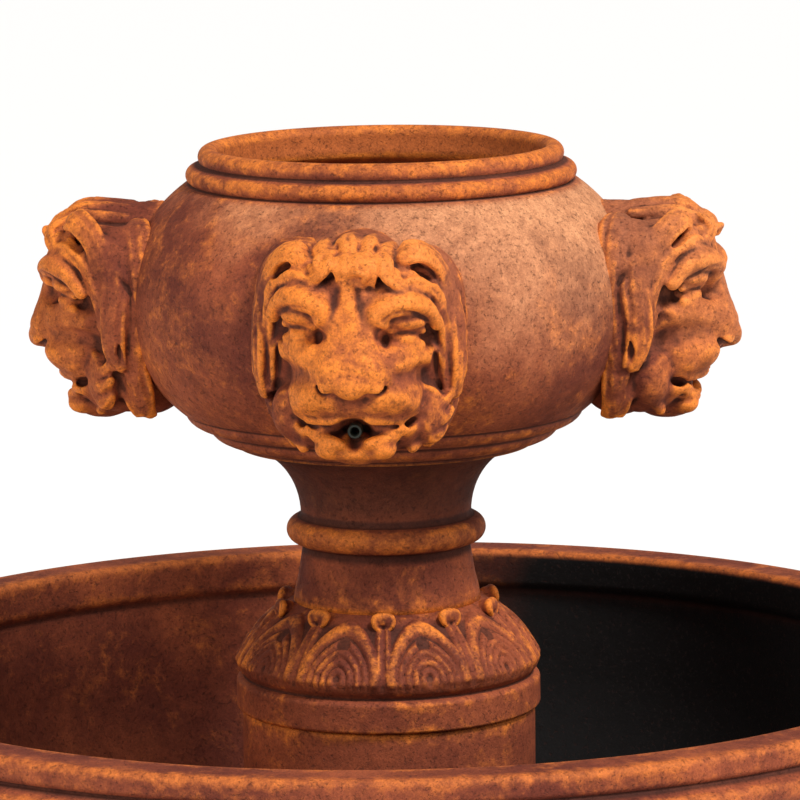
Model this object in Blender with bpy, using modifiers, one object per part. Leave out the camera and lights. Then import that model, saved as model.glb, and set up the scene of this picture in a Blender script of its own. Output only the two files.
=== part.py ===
"""A free-standing urn fountain of cast stone.

A footed urn with four lion-head spouts stands on a plain drum in the middle of a
round basin. The basin, the drum, the urn and the four spout tubes are separate
pieces. The origin is on the ground, at the middle of the basin's foot.
Sizes below are in millimetres, radii from the axis and heights from the ground.
"""

import math

import bmesh
import bpy
from mathutils import Matrix, Vector

MM = 0.001
GAP = 0.3                     # left between two pieces that touch
MERGE = 0.0001                # merge distance of every modifier, in metres

# Basin
BASIN_STEPS = 36
BASIN_HEIGHT = 400.0
BASIN_FLOOR = 90.0
BASIN_FOOT_RADIUS = 330.0
RIM_INNER = 543.0             # radius of the rim's inner face
RIM_OUTER = 594.0             # radius of the rim's upper outer band
RIM_ROUNDING = 8.0
RIM_LIP_DEPTH = 38.0          # height of the rim's inner face
RIM_RECESS = 9.0              # the wall stands back this far under the rim
BAND_OUTER = 608.0            # radius of the second, lower band

# Drum
DRUM_STEPS = 32
DRUM_RADIUS = 147.5
DRUM_TOP = 344.3
DRUM_ROUNDING = 8.0

# Urn, from its top ring to its slab
URN_STEPS = 28
TOP_RING = (172.0, 901.0, 10.0)         # radius and height of a ring's middle, its thickness radius
LOWER_RING = (185.5, 883.0, 9.0)
SHOULDER = (190.0, 874.0)
BOWL_MIDDLE = 758.0                     # height of the bowl's widest line
BOWL_RADIUS = 256.0
BOWL_HALF_HEIGHT = 167.0
BOWL_POWER = 2.2                        # how square the bowl's side is; 2 is an ellipse
BOWL_BOTTOM = 648.0
STEP_BANDS = ((199.0, 646.0, 178.0, 632.0), (174.0, 629.0, 150.0, 615.0))
NECK_TOP = (148.0, 611.0)
NECK_RADIUS = 85.5
NECK_BOTTOM = 539.5
COLLAR = (87.0, 524.4, 13.0)
STEM = ((84.0, 508.0), (90.0, 477.0), (94.0, 452.0))
FOOT_TOP = (100.0, 450.0)
FOOT_EDGE = (151.0, 394.0)
FOOT_BULGE = 6.0                        # the foot's slope swells this far past a straight line
FOOT_BOTTOM = 383.0
SLAB_RADIUS = 153.0
SLAB_TOP = 376.0
SLAB_BOTTOM = DRUM_TOP + GAP

# Hollow of the bowl
HOLLOW_RADIUS = 228.0
HOLLOW_RISE = 160.0
HOLLOW_DROP = 135.0
HOLLOW_FLOOR = 655.0
MOUTH_RADIUS = 163.0
HOLLOW_STEPS = 24

# Lion heads
HEADS = 4
HEAD_TURN = -5.15             # degrees that the front head looks to its side
HEAD_FACES = 800
HEAD_VOXEL = 2.6
FACE_ROLL = 0.05              # the brow and eyes lean sideways by this much of their distance
FACE_ROLL_FROM = 700.0
FACE_ROLL_TO = 760.0

# Spouts
SPOUT_HEIGHT = 672.0
TUBE_RADIUS = 7.0
TUBE_BORE = 4.0
TUBE_START = 168.0            # reach of the tube's end inside the bowl
TUBE_END = 308.0
TUBE_SIDES = 8

# Leaf carving of the foot
PALMETTES = 10
FIRST_PALMETTE = -15.0        # degrees from the front to the middle of one palmette
PALMETTE_ARCHES = ((15.0, 46.0, 7), (7.5, 27.0, 5))       # half-width in degrees, height, points
RIB = 2.8
TONGUE_RIB = 5.0
TONGUE_HEIGHT = 66.0

STONE = ("cast_stone", (0.16, 0.055, 0.028, 1.0), 0.85, 0.0)
DARK_STONE = ("cast_stone_dark", (0.09, 0.035, 0.024, 1.0), 0.9, 0.0)
TUBING = ("grey_tubing", (0.10, 0.10, 0.09, 1.0), 0.45, 0.0)


def make_collection(name):
    collection = bpy.data.collections.new(name)
    bpy.context.scene.collection.children.link(collection)
    return collection


def make_material(recipe):
    name, colour, roughness, metallic = recipe
    material = bpy.data.materials.new(name)
    material.use_nodes = True
    shader = material.node_tree.nodes["Principled BSDF"]
    shader.inputs["Base Color"].default_value = colour
    shader.inputs["Roughness"].default_value = roughness
    shader.inputs["Metallic"].default_value = metallic
    return material


def add_object(name, mesh, collection, material=None):
    obj = bpy.data.objects.new(name, mesh)
    collection.objects.link(obj)
    if material is not None:
        mesh.materials.append(material)
    return obj


def hide_guide(obj):
    """A cutter or a shape that is only merged into another."""
    obj.hide_render = True
    obj.display_type = "WIRE"


def evaluated_mesh(obj):
    bpy.context.view_layer.update()
    depsgraph = bpy.context.evaluated_depsgraph_get()
    return bpy.data.meshes.new_from_object(obj.evaluated_get(depsgraph), depsgraph=depsgraph)


def arc(middle, height, radius, start, end, steps):
    """Points of a round moulding, from one angle to another, in degrees."""
    points = []
    for step in range(steps + 1):
        angle = math.radians(start + (end - start) * step / steps)
        points.append((middle + radius * math.cos(angle), height + radius * math.sin(angle)))
    return points


def bowl_curve(radius, middle, half_height, heights):
    """Points of a squared ellipse, one at each height."""
    points = []
    for height in heights:
        share = abs(height - middle) / half_height
        points.append((radius * (1.0 - share ** BOWL_POWER) ** (1.0 / BOWL_POWER), height))
    return points


def spaced(start, end, count):
    return [start + (end - start) * index / (count - 1) for index in range(count)]


def turned(name, outline, steps, collection, material=None, closed=False):
    """A turned solid: an outline at +X, down its outer side, swept about Z."""
    bm = bmesh.new()
    verts = [bm.verts.new((radius * MM, 0.0, height * MM)) for radius, height in outline]
    for first, second in zip(verts, verts[1:]):
        bm.edges.new((first, second))
    if closed:
        bm.edges.new((verts[-1], verts[0]))
    mesh = bpy.data.meshes.new(name)
    bm.to_mesh(mesh)
    bm.free()
    obj = add_object(name, mesh, collection, material)
    screw = obj.modifiers.new("turn", "SCREW")
    screw.axis = "Z"
    screw.steps = steps
    screw.render_steps = steps
    screw.use_merge_vertices = True
    screw.merge_threshold = MERGE
    screw.use_smooth_shade = True
    return obj


# Basin and drum

def basin_outline():
    top = BASIN_HEIGHT
    lip_bottom = top - RIM_LIP_DEPTH
    inside = [(0.0, BASIN_FLOOR), (400.0, BASIN_FLOOR), (490.0, 130.0), (540.0, 225.0),
              (RIM_INNER + RIM_RECESS, lip_bottom - 8.0), (RIM_INNER, lip_bottom)]
    rim = arc(RIM_INNER + RIM_ROUNDING, top - RIM_ROUNDING, RIM_ROUNDING, 180.0, 90.0, 2)
    rim += arc(RIM_OUTER - RIM_ROUNDING, top - RIM_ROUNDING, RIM_ROUNDING, 90.0, 0.0, 2)
    bands = [(RIM_OUTER, top - 21.0), (RIM_OUTER - 5.0, top - 26.0), (BAND_OUTER, top - 34.0),
             (BAND_OUTER, top - 48.0), (BAND_OUTER - 8.0, top - 60.0)]
    outside = [(594.0, 270.0), (545.0, 150.0), (430.0, 65.0), (BASIN_FOOT_RADIUS, 32.0),
               (BASIN_FOOT_RADIUS, 0.0), (0.0, 0.0)]
    return inside + rim + bands + outside


def drum_outline():
    edge = arc(DRUM_RADIUS - DRUM_ROUNDING, DRUM_TOP - DRUM_ROUNDING, DRUM_ROUNDING, 90.0, 0.0, 2)
    bottom = BASIN_FLOOR + GAP
    return [(0.0, DRUM_TOP)] + edge + [(DRUM_RADIUS, bottom), (0.0, bottom)]


# Urn body

def foot_radius(height):
    """Radius of the foot's swelling slope at a height."""
    share = (height - FOOT_EDGE[1]) / (FOOT_TOP[1] - FOOT_EDGE[1])
    share = min(max(share, 0.0), 1.0)
    straight = FOOT_EDGE[0] + (FOOT_TOP[0] - FOOT_EDGE[0]) * share
    return straight + FOOT_BULGE * math.sin(math.pi * share)


def urn_outline():
    outline = [(0.0, TOP_RING[1])]
    outline += arc(*TOP_RING, 180.0, 90.0, 2)[:-1] + arc(*TOP_RING, 90.0, -30.0, 2)
    outline += arc(*LOWER_RING, 55.0, -60.0, 3)
    outline.append(SHOULDER)
    outline += bowl_curve(BOWL_RADIUS, BOWL_MIDDLE, BOWL_HALF_HEIGHT,
                          [862.0, 835.0, 795.0, 750.0, 705.0, 672.0, BOWL_BOTTOM])
    for radius_top, top, radius_bottom, bottom in STEP_BANDS:
        swell = 0.22 * (radius_top - radius_bottom)
        outline.append((radius_top, top))
        outline.append(((radius_top + radius_bottom) / 2 + swell, (top + bottom) / 2 - swell / 2))
        outline.append((radius_bottom, bottom))
    outline.append(NECK_TOP)
    for angle in (30.0, 60.0, 90.0):
        outline.append((NECK_TOP[0] - (NECK_TOP[0] - NECK_RADIUS) * math.sin(math.radians(angle)),
                        NECK_BOTTOM + (NECK_TOP[1] - NECK_BOTTOM) * math.cos(math.radians(angle))))
    outline += arc(*COLLAR, 75.0, -85.0, 3)
    outline += list(STEM)
    outline += [(foot_radius(height), height) for height in spaced(FOOT_TOP[1], FOOT_EDGE[1], 4)]
    outline += [(FOOT_EDGE[0], FOOT_BOTTOM), (SLAB_RADIUS - 7.0, SLAB_TOP + 2.0), (SLAB_RADIUS, SLAB_TOP),
                (SLAB_RADIUS, SLAB_BOTTOM + 2.0), (SLAB_RADIUS - 2.0, SLAB_BOTTOM), (0.0, SLAB_BOTTOM)]
    return outline


def hollow_outline():
    """The bowl's inside, open well above the top ring."""
    above = TOP_RING[1] + 40.0
    upper = bowl_curve(HOLLOW_RADIUS, BOWL_MIDDLE, HOLLOW_RISE, [876.0, 850.0, 810.0, BOWL_MIDDLE])
    lower = bowl_curve(HOLLOW_RADIUS, BOWL_MIDDLE, HOLLOW_DROP, [715.0, 680.0, HOLLOW_FLOOR])
    return [(0.0, above), (MOUTH_RADIUS, above), (MOUTH_RADIUS, 890.0)] + upper + lower + [(0.0, HOLLOW_FLOOR)]


# Lion head. A point of the head is its side (to the viewer's right), its reach from
# the axis and its height; the head looks along -Y until it is turned into place.

def head_point(side, reach, height):
    lean = min(max((height - FACE_ROLL_FROM) / (FACE_ROLL_TO - FACE_ROLL_FROM), 0.0), 1.0)
    return Vector((side * MM, -reach * MM, (height - FACE_ROLL * side * lean) * MM))


def lump(bm, place, radii, tilt=0.0, turn=0.0):
    """One swelling of the head: a ball stretched to its three radii."""
    matrix = Matrix.Translation(head_point(*place))
    matrix @= Matrix.Rotation(math.radians(turn), 4, "Z") @ Matrix.Rotation(math.radians(tilt), 4, "X")
    matrix @= Matrix.Diagonal((radii[0] * MM, radii[1] * MM, radii[2] * MM, 1.0))
    bmesh.ops.create_uvsphere(bm, u_segments=24, v_segments=14, radius=1.0, matrix=matrix)


def add_lock(curve, root, tip, bow, thickness, tip_share=0.35):
    """A lock of the mane: an arc from root to tip, bowed aside and tapering."""
    knots = 7
    spline = curve.splines.new("POLY")
    spline.points.add(knots - 1)
    root, tip, bow = Vector(root), Vector(tip), Vector(bow)
    for index, point in enumerate(spline.points):
        share = index / (knots - 1)
        place = root.lerp(tip, share) + bow * math.sin(math.pi * share)
        point.co = (*head_point(*place), 1.0)
        swelling = math.sin(math.pi * min(0.25 + share, 1.0) * 0.5)
        point.radius = thickness * swelling * (1.0 - (1.0 - tip_share) * share ** 2)
    return spline


def face_lumps(bm):
    """The skull and the features of the face, both sides alike."""
    lump(bm, (0, 238, 768), (92, 50, 90))                       # mass of the mane
    lump(bm, (0, 250, 755), (74, 64, 84))                       # skull
    lump(bm, (0, 236, 690), (62, 40, 48))                       # throat
    lump(bm, (0, 302, 758), (28, 38, 46), tilt=8.0)             # bridge of the nose
    lump(bm, (0, 332, 725), (31, 24, 15))                       # nose pad
    lump(bm, (0, 306, 803), (15, 31, 24))                       # ridge of the forehead
    lump(bm, (0, 280, 828), (54, 46, 26))                       # crown behind the forelock
    lump(bm, (0, 296, 700), (46, 36, 30))                       # muzzle
    lump(bm, (0, 286, 657), (33, 27, 18))                       # chin
    for side in (-1, 1):
        lump(bm, (side * 38, 304, 796), (28, 27, 16), turn=side * 12.0)     # brow
        lump(bm, (side * 66, 258, 812), (28, 36, 34))                       # temple
        lump(bm, (side * 46, 300, 768), (17, 20, 9))                        # eyelid
        lump(bm, (side * 50, 282, 744), (28, 36, 22), turn=side * 18.0)     # cheekbone
        lump(bm, (side * 24, 306, 698), (31, 30, 19), turn=side * 14.0)     # whisker pad
        lump(bm, (side * 40, 284, 676), (14, 24, 15))                       # corner of the mouth
        lump(bm, (side * 30, 262, 668), (26, 36, 22))                       # jaw


def mane_locks(curve):
    """The forelock, the curls of the temples, the hanging locks and the jaw's hair."""
    for side in (-1, 1):
        for spread in (8.0, 26.0, 46.0):                        # crown, combed back from the forelock
            add_lock(curve, (side * spread * 0.6, 322, 836 - spread * 0.2),
                     (side * spread * 1.35, 252, 858 - spread * 0.12), (0, 6, 8), 11.0)
        add_lock(curve, (side * 4, 322, 848), (side * 11, 333, 824), (side * 5, 6, 4), 10.5)
        add_lock(curve, (side * 16, 316, 850), (side * 30, 322, 822), (side * 8, 6, 4), 10.0)
        add_lock(curve, (side * 30, 306, 842), (side * 92, 262, 806), (side * 10, 0, 18), 12.0)
        add_lock(curve, (side * 92, 262, 812), (side * 95, 250, 706), (side * 10, 6, 0), 12.0)
        add_lock(curve, (side * 32, 312, 822), (side * 82, 278, 782), (side * 12, 4, 14), 9.0)
        add_lock(curve, (side * 82, 276, 790), (side * 82, 262, 716), (side * 7, 4, 0), 9.5)
        add_lock(curve, (side * 62, 300, 800), (side * 76, 282, 752), (side * 10, 4, 4), 7.5)
        for drop in (0.0, 17.0, 34.0):                          # wavy hair beside the jaw
            add_lock(curve, (side * 60, 262, 708 - drop), (side * (94 - drop * 0.3), 246, 694 - drop * 0.95),
                     (side * 4, 8, -9), 10.0)
        add_lock(curve, (side * 100, 232, 800), (side * 96, 238, 700), (side * 3, 4, 0), 12.0)


def mouth_cutter():
    """The open mouth round the spout."""
    bm = bmesh.new()
    lump(bm, (0, 318, SPOUT_HEIGHT + 2), (17, 26, 10))
    mesh = bpy.data.meshes.new("mouth")
    bm.to_mesh(mesh)
    bm.free()
    return mesh


def keep_outer_skin(mesh):
    """Delete the small closed skins round any void left inside the fused lumps."""
    bm = bmesh.new()
    bm.from_mesh(mesh)
    unseen = set(bm.verts)
    skins = []
    while unseen:
        queue = [unseen.pop()]
        skin = list(queue)
        while queue:
            for edge in queue.pop().link_edges:
                for vert in edge.verts:
                    if vert in unseen:
                        unseen.remove(vert)
                        queue.append(vert)
                        skin.append(vert)
        skins.append(skin)
    skins.sort(key=len)
    for skin in skins[:-1]:
        bmesh.ops.delete(bm, geom=skin, context="VERTS")
    bm.to_mesh(mesh)
    bm.free()


def fuse(obj):
    remesh = obj.modifiers.new("fuse", "REMESH")
    remesh.mode = "VOXEL"
    remesh.voxel_size = HEAD_VOXEL * MM


def combine(target, other, operation, name):
    boolean = target.modifiers.new(name, "BOOLEAN")
    boolean.operation = operation
    boolean.solver = "EXACT"
    boolean.object = other
    hide_guide(other)


def lion_head(guides):
    """One head as a closed mesh, its lumps and locks fused and thinned to few faces."""
    bm = bmesh.new()
    face_lumps(bm)
    curve = bpy.data.curves.new("mane", "CURVE")
    curve.dimensions = "3D"
    curve.bevel_depth = MM
    curve.bevel_resolution = 2
    curve.use_fill_caps = True
    mane_locks(curve)
    strands = bpy.data.objects.new("mane", curve)
    guides.objects.link(strands)
    strand_mesh = evaluated_mesh(strands)
    bm.from_mesh(strand_mesh)
    bmesh.ops.remove_doubles(bm, verts=bm.verts, dist=1e-6)
    bpy.data.objects.remove(strands)
    mesh = bpy.data.meshes.new("head_lumps")
    bm.to_mesh(mesh)
    bm.free()
    lumps = add_object("head_lumps", mesh, guides)
    fuse(lumps)
    combine(lumps, add_object("mouth", mouth_cutter(), guides), "DIFFERENCE", "mouth")
    fuse(lumps)
    smooth = lumps.modifiers.new("soften", "SMOOTH")
    smooth.iterations = 3
    fused = evaluated_mesh(lumps)
    bpy.data.objects.remove(lumps)
    keep_outer_skin(fused)
    head = add_object("lion_head", fused, guides)
    thin = head.modifiers.new("thin", "DECIMATE")
    thin.ratio = HEAD_FACES / (2.0 * len(fused.polygons))
    thinned = evaluated_mesh(head)
    bpy.data.objects.remove(head)
    return thinned


def spout_place(turn, reach):
    """Turn and place of something that points outwards along a head's spout."""
    matrix = Matrix.Rotation(math.radians(turn), 4, "Z")
    matrix @= Matrix.Translation((0.0, -reach * MM, SPOUT_HEIGHT * MM))
    return matrix @ Matrix.Rotation(math.radians(90.0), 4, "X")


# Leaf carving. A point of the foot is its angle about the axis and its height.

def foot_point(angle, height, proud):
    turn = math.radians(angle)
    radius = (foot_radius(height) + proud) * MM
    return Vector((radius * math.sin(turn), -radius * math.cos(turn), height * MM))


def add_rib(curve, points, thickness):
    spline = curve.splines.new("POLY")
    spline.points.add(len(points) - 1)
    for point, place in zip(spline.points, points):
        point.co = (*place, 1.0)
        point.radius = thickness


def leaf_ribs(guides):
    """Nested horseshoe arches, with a curled tongue standing between two of them."""
    curve = bpy.data.curves.new("leaves", "CURVE")
    curve.dimensions = "3D"
    curve.bevel_depth = MM
    curve.bevel_resolution = 0
    curve.use_fill_caps = True
    pitch = 360.0 / PALMETTES
    base = FOOT_BOTTOM + 7.0
    for index in range(PALMETTES):
        middle = FIRST_PALMETTE + index * pitch
        for width, tall, knots in PALMETTE_ARCHES:
            points = []
            for step in range(knots):
                swing = math.radians(-125.0 + 250.0 * step / (knots - 1))
                points.append(foot_point(middle + width * math.sin(swing),
                                         base + tall * (0.45 + 0.55 * math.cos(swing)), 0.6))
            add_rib(curve, points, RIB)
        tongue = [foot_point(middle + pitch / 2, base + TONGUE_HEIGHT * share, 1.2 + 3.4 * share ** 3)
                  for share in (0.2, 0.75, 1.0)]
        add_rib(curve, tongue, TONGUE_RIB)
    ribs = bpy.data.objects.new("leaves", curve)
    guides.objects.link(ribs)
    mesh = evaluated_mesh(ribs)
    bm = bmesh.new()
    bm.from_mesh(mesh)
    bmesh.ops.remove_doubles(bm, verts=bm.verts, dist=1e-6)
    bm.to_mesh(mesh)
    bm.free()
    bpy.data.objects.remove(ribs)
    return add_object("leaf_ribs", mesh, guides)


def lion_urn(parts, guides, material):
    """The urn with its heads and leaves, hollowed, then opened at the mouths."""
    urn = turned("lion_urn", urn_outline(), URN_STEPS, parts, material)
    head_mesh = lion_head(guides)
    for index in range(HEADS):
        turn = HEAD_TURN + index * 360.0 / HEADS
        head = add_object(f"head_{index}", head_mesh, guides)
        head.rotation_euler[2] = math.radians(turn)
        combine(urn, head, "UNION", f"head {index}")
    combine(urn, leaf_ribs(guides), "UNION", "leaves")
    combine(urn, turned("hollow", hollow_outline(), HOLLOW_STEPS, guides), "DIFFERENCE", "hollow")
    bore = [(0.0, 200.0), (TUBE_RADIUS + GAP, 200.0), (TUBE_RADIUS + GAP, 0.0), (0.0, 0.0)]
    for index in range(HEADS):
        turn = HEAD_TURN + index * 360.0 / HEADS
        hole = turned(f"bore_{index}", bore, TUBE_SIDES, guides)
        hole.matrix_world = spout_place(turn, TUBE_START - 48.0)
        combine(urn, hole, "DIFFERENCE", f"bore {index}")
    return urn


def spout_tube(name, turn, parts, material):
    length = TUBE_END - TUBE_START
    ring = [(TUBE_BORE, 0.0), (TUBE_BORE, length), (TUBE_RADIUS, length), (TUBE_RADIUS, 0.0)]
    tube = turned(name, ring, TUBE_SIDES, parts, material, closed=True)
    tube.matrix_world = spout_place(turn, TUBE_START)
    return tube


def main():
    for obj in list(bpy.data.objects):
        bpy.data.objects.remove(obj)
    parts = make_collection("urn_fountain")
    guides = make_collection("cutters")
    stone = make_material(STONE)
    turned("basin", basin_outline(), BASIN_STEPS, parts, stone)
    turned("riser_drum", drum_outline(), DRUM_STEPS, parts, make_material(DARK_STONE))
    lion_urn(parts, guides, stone)
    tubing = make_material(TUBING)
    for index, side in enumerate(("front", "right", "back", "left")):
        spout_tube(f"spout_tube_{side}", HEAD_TURN + index * 360.0 / HEADS, parts, tubing)


main()
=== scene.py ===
import math

import bpy
import numpy as np
from bpy.props import FloatProperty, FloatVectorProperty, IntProperty, PointerProperty
from mathutils import Matrix, Vector


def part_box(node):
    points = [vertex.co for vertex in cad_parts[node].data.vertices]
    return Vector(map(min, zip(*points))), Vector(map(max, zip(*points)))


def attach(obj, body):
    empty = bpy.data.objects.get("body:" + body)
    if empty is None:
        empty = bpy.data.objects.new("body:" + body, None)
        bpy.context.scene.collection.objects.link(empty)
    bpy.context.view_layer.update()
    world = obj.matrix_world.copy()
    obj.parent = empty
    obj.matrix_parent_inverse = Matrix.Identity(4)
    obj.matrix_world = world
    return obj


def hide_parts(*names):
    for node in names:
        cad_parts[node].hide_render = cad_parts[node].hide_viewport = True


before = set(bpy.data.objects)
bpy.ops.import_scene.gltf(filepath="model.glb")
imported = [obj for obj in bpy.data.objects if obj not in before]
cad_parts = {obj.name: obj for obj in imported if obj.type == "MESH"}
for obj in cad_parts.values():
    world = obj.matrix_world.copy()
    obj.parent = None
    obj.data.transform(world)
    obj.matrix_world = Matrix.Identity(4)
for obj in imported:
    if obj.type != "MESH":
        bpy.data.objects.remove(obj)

bl_info = {
    "name": "Lion urn fountain",
    "version": (1, 0, 0),
    "blender": (4, 5, 0),
    "location": "3D View > Sidebar > Fountain",
    "description": "A cast-stone urn fountain with four lion-head spouts in a round basin",
    "category": "Add Mesh",
}

# Radii from the axis and heights from the ground are in millimetres, and MM makes them metres.
# A ring or a collar is given by its middle's radius and height and its rounding, and a step under
# the bowl by the radius and the height at its top and at its foot.

MM = 0.001
GAP = 0.3

# Basin
BASIN_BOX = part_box("basin")
BASIN_HEIGHT = BASIN_BOX[1][2] / MM
BAND_OUTER = BASIN_BOX[1][0] / MM
RIM_OUTER = BAND_OUTER - 14.0
RIM_INNER = BAND_OUTER - 65.0
RIM_ROUNDING = 8.0
RIM_LIP_DEPTH = 38.0
RIM_RECESS = 9.0
BASIN_FLOOR = 90.0
BASIN_FOOT_RADIUS = 330.0
BASIN_FOOT_HEIGHT = 32.0
POOL_SIDE = ((400.0, BASIN_FLOOR), (490.0, 130.0), (540.0, 225.0))
BASIN_UNDERSIDE = ((594.0, 270.0), (545.0, 150.0), (430.0, 65.0))

# Drum
DRUM_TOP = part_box("riser_drum")[1][2] / MM
DRUM_RADIUS = 147.5
DRUM_ROUNDING = 7.0

# Urn
TOP_RING = (172.0, 901.0, 10.0)
LOWER_RING = (185.5, 883.0, 9.0)
LIP_INSIDE = (160.5, 888.0)
BOWL_MIDDLE = 758.0
BOWL_RADIUS = 256.0
BOWL_HALF_HEIGHT = 167.0
BOWL_POWER = 2.2
BOWL_TOP = 874.0
BOWL_BOTTOM = 648.0
SHOULDER = (189.0, BOWL_TOP + 0.6)
BOWL_STEPS = ((199.0, 647.0, 178.0, 632.0), (174.0, 629.0, 150.0, 615.5))
STEP_GROOVE = (2.5, 1.0)
NECK_TOP = (148.0, 611.0)
NECK_RADIUS = 85.5
NECK_BOTTOM = 539.5
COLLAR = (87.0, 524.4, 13.0)
STEM = ((84.0, 508.0), (85.5, 498.0), (89.0, 477.0), (92.0, 466.0), (94.0, 452.0),
        (80.0, 451.0), (0.0, 451.0))
FOOT_TOP = (100.0, 450.0)
FOOT_EDGE = (151.0, 394.0)
FOOT_BULGE = 6.0
FOOT_BOTTOM = 383.0
SLAB_RADIUS = 153.0
SLAB_TOP = 376.0
SLAB_BOTTOM = DRUM_TOP + GAP
HOLLOW_RADIUS = 228.0
HOLLOW_RISE = 160.0
HOLLOW_DROP = 135.0
HOLLOW_FLOOR = 655.0
HOLLOW_TOP = 880.0

# Lion heads and spouts
HEADS = ("front", "right", "back", "left")
HEAD_TURN = -5.15
FACE_ROLL = 0.05
FACE_ROLL_FROM = 700.0
FACE_ROLL_TO = 760.0
SPOUT_HEIGHT = 672.0
TUBE_RADIUS = 7.0
TUBE_BORE = 4.0
TUBE_START = 168.0
TUBE_END = 308.0
TUBE_SIDES = 32

# Leaf carving
PALMETTES = 10
FIRST_PALMETTE = -20.0
HALF_PALMETTE = math.pi / PALMETTES


# Turned outlines, down the outer side from top to bottom

def arc(middle, height, radius, start, end, steps):
    """Points of a round moulding, from one angle to another, in degrees."""
    angles = np.radians(np.linspace(start, end, steps + 1))
    return [(middle + radius * math.cos(a), height + radius * math.sin(a)) for a in angles]


def bowl_radius(radius, middle, half_height, height):
    share = min(abs(height - middle) / half_height, 1.0)
    return radius * (1.0 - share ** BOWL_POWER) ** (1.0 / BOWL_POWER)


def bowl_side(radius, middle, half_height, top, bottom, steps):
    heights = np.linspace(top, bottom, steps + 1)
    return [(bowl_radius(radius, middle, half_height, z), z) for z in heights]


def rounded(points, rounding, steps=4):
    """An outline whose inner corners are each replaced by a small curve."""
    result = [points[0]]
    for before, corner, after in zip(points, points[1:], points[2:]):
        before, corner, after = Vector(before), Vector(corner), Vector(after)
        reach = min(rounding, (before - corner).length * 0.45, (after - corner).length * 0.45)
        start = corner + (before - corner).normalized() * reach
        end = corner + (after - corner).normalized() * reach
        for step in range(steps + 1):
            share = step / steps
            point = start * (1 - share) ** 2 + corner * 2 * share * (1 - share) + end * share ** 2
            result.append((point.x, point.y))
    result.append(points[-1])
    return result


def refined(points, longest):
    """The same outline with no stretch longer than a given length."""
    result = [points[0]]
    for (r0, z0), (r1, z1) in zip(points, points[1:]):
        parts = max(int(math.ceil(math.hypot(r1 - r0, z1 - z0) / longest)), 1)
        for part in range(1, parts + 1):
            share = part / parts
            result.append((r0 + (r1 - r0) * share, z0 + (z1 - z0) * share))
    return result


def foot_radius(height):
    share = (height - FOOT_EDGE[1]) / (FOOT_TOP[1] - FOOT_EDGE[1])
    share = min(max(share, 0.0), 1.0)
    straight = FOOT_EDGE[0] + (FOOT_TOP[0] - FOOT_EDGE[0]) * share
    return straight + FOOT_BULGE * math.sin(math.pi * share)


def urn_outline():
    """From the hollow's floor, up the inside, over the rings and down to the stem's foot."""
    floor_radius = bowl_radius(HOLLOW_RADIUS, BOWL_MIDDLE, HOLLOW_DROP, HOLLOW_FLOOR)
    inside = [(0.0, HOLLOW_FLOOR), (floor_radius, HOLLOW_FLOOR)]
    inside += bowl_side(HOLLOW_RADIUS, BOWL_MIDDLE, HOLLOW_DROP, HOLLOW_FLOOR + 6.0, BOWL_MIDDLE, 14)
    inside += bowl_side(HOLLOW_RADIUS, BOWL_MIDDLE, HOLLOW_RISE, BOWL_MIDDLE + 8.0, HOLLOW_TOP, 14)
    rings = [LIP_INSIDE] + arc(*TOP_RING, 185.0, -40.0, 22) + arc(*LOWER_RING, 62.0, -62.0, 14)
    bowl = bowl_side(BOWL_RADIUS, BOWL_MIDDLE, BOWL_HALF_HEIGHT, BOWL_TOP - 1.0, BOWL_BOTTOM, 52)
    steps = []
    for top_radius, top, bottom_radius, bottom in BOWL_STEPS:
        for angle in np.radians(np.linspace(0.0, 90.0, 9)):
            steps.append((bottom_radius + (top_radius - bottom_radius) * math.cos(angle),
                          top - (top - bottom) * math.sin(angle)))
        steps.append((bottom_radius - STEP_GROOVE[0], bottom - STEP_GROOVE[1]))
    neck = []
    for angle in np.radians(np.linspace(0.0, 90.0, 18)):
        neck.append((NECK_TOP[0] - (NECK_TOP[0] - NECK_RADIUS) * math.sin(angle),
                     NECK_BOTTOM + (NECK_TOP[1] - NECK_BOTTOM) * math.cos(angle)))
    collar = arc(*COLLAR, 86.0, -92.0, 18)
    return inside + rings + [SHOULDER] + bowl + steps + neck + collar + list(STEM)


def drum_outline():
    edge = arc(DRUM_RADIUS - DRUM_ROUNDING, DRUM_TOP - DRUM_ROUNDING, DRUM_ROUNDING, 90.0, 0.0, 8)
    bottom = BASIN_FLOOR + GAP
    return [(0.0, DRUM_TOP)] + edge + [(DRUM_RADIUS, bottom), (0.0, bottom)]


def basin_outline():
    """From the pool's floor, up the inside, over the rim and its bands and down to the foot."""
    top = BASIN_HEIGHT
    lip_bottom = top - RIM_LIP_DEPTH
    inside = rounded([(0.0, BASIN_FLOOR), *POOL_SIDE, (RIM_INNER + RIM_RECESS, lip_bottom - 8.0),
                      (RIM_INNER + 1.0, lip_bottom), (RIM_INNER, top - 14.0)], 60.0, 10)
    rim = arc(RIM_INNER + RIM_ROUNDING, top - RIM_ROUNDING, RIM_ROUNDING, 180.0, 90.0, 6)
    rim += arc(RIM_OUTER - RIM_ROUNDING, top - RIM_ROUNDING, RIM_ROUNDING, 90.0, 0.0, 6)
    bands = [(RIM_OUTER, top - 12.0), (RIM_OUTER, top - 21.0), (RIM_OUTER - 5.0, top - 26.0),
             (BAND_OUTER, top - 34.0), (BAND_OUTER, top - 48.0), (BAND_OUTER - 8.0, top - 60.0)]
    foot = [(BASIN_FOOT_RADIUS, BASIN_FOOT_HEIGHT), (BASIN_FOOT_RADIUS, 0.0), (0.0, 0.0)]
    return inside + rim + rounded([*bands, *BASIN_UNDERSIDE, *foot], 9.0, 5)


# Clay: shapes as distances on a regular grid, in millimetres. A point of a head is its
# side (to the viewer's right), its reach from the axis and its height.

BAND = 9.0                    # how far from a shape its distance is worked out


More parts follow.
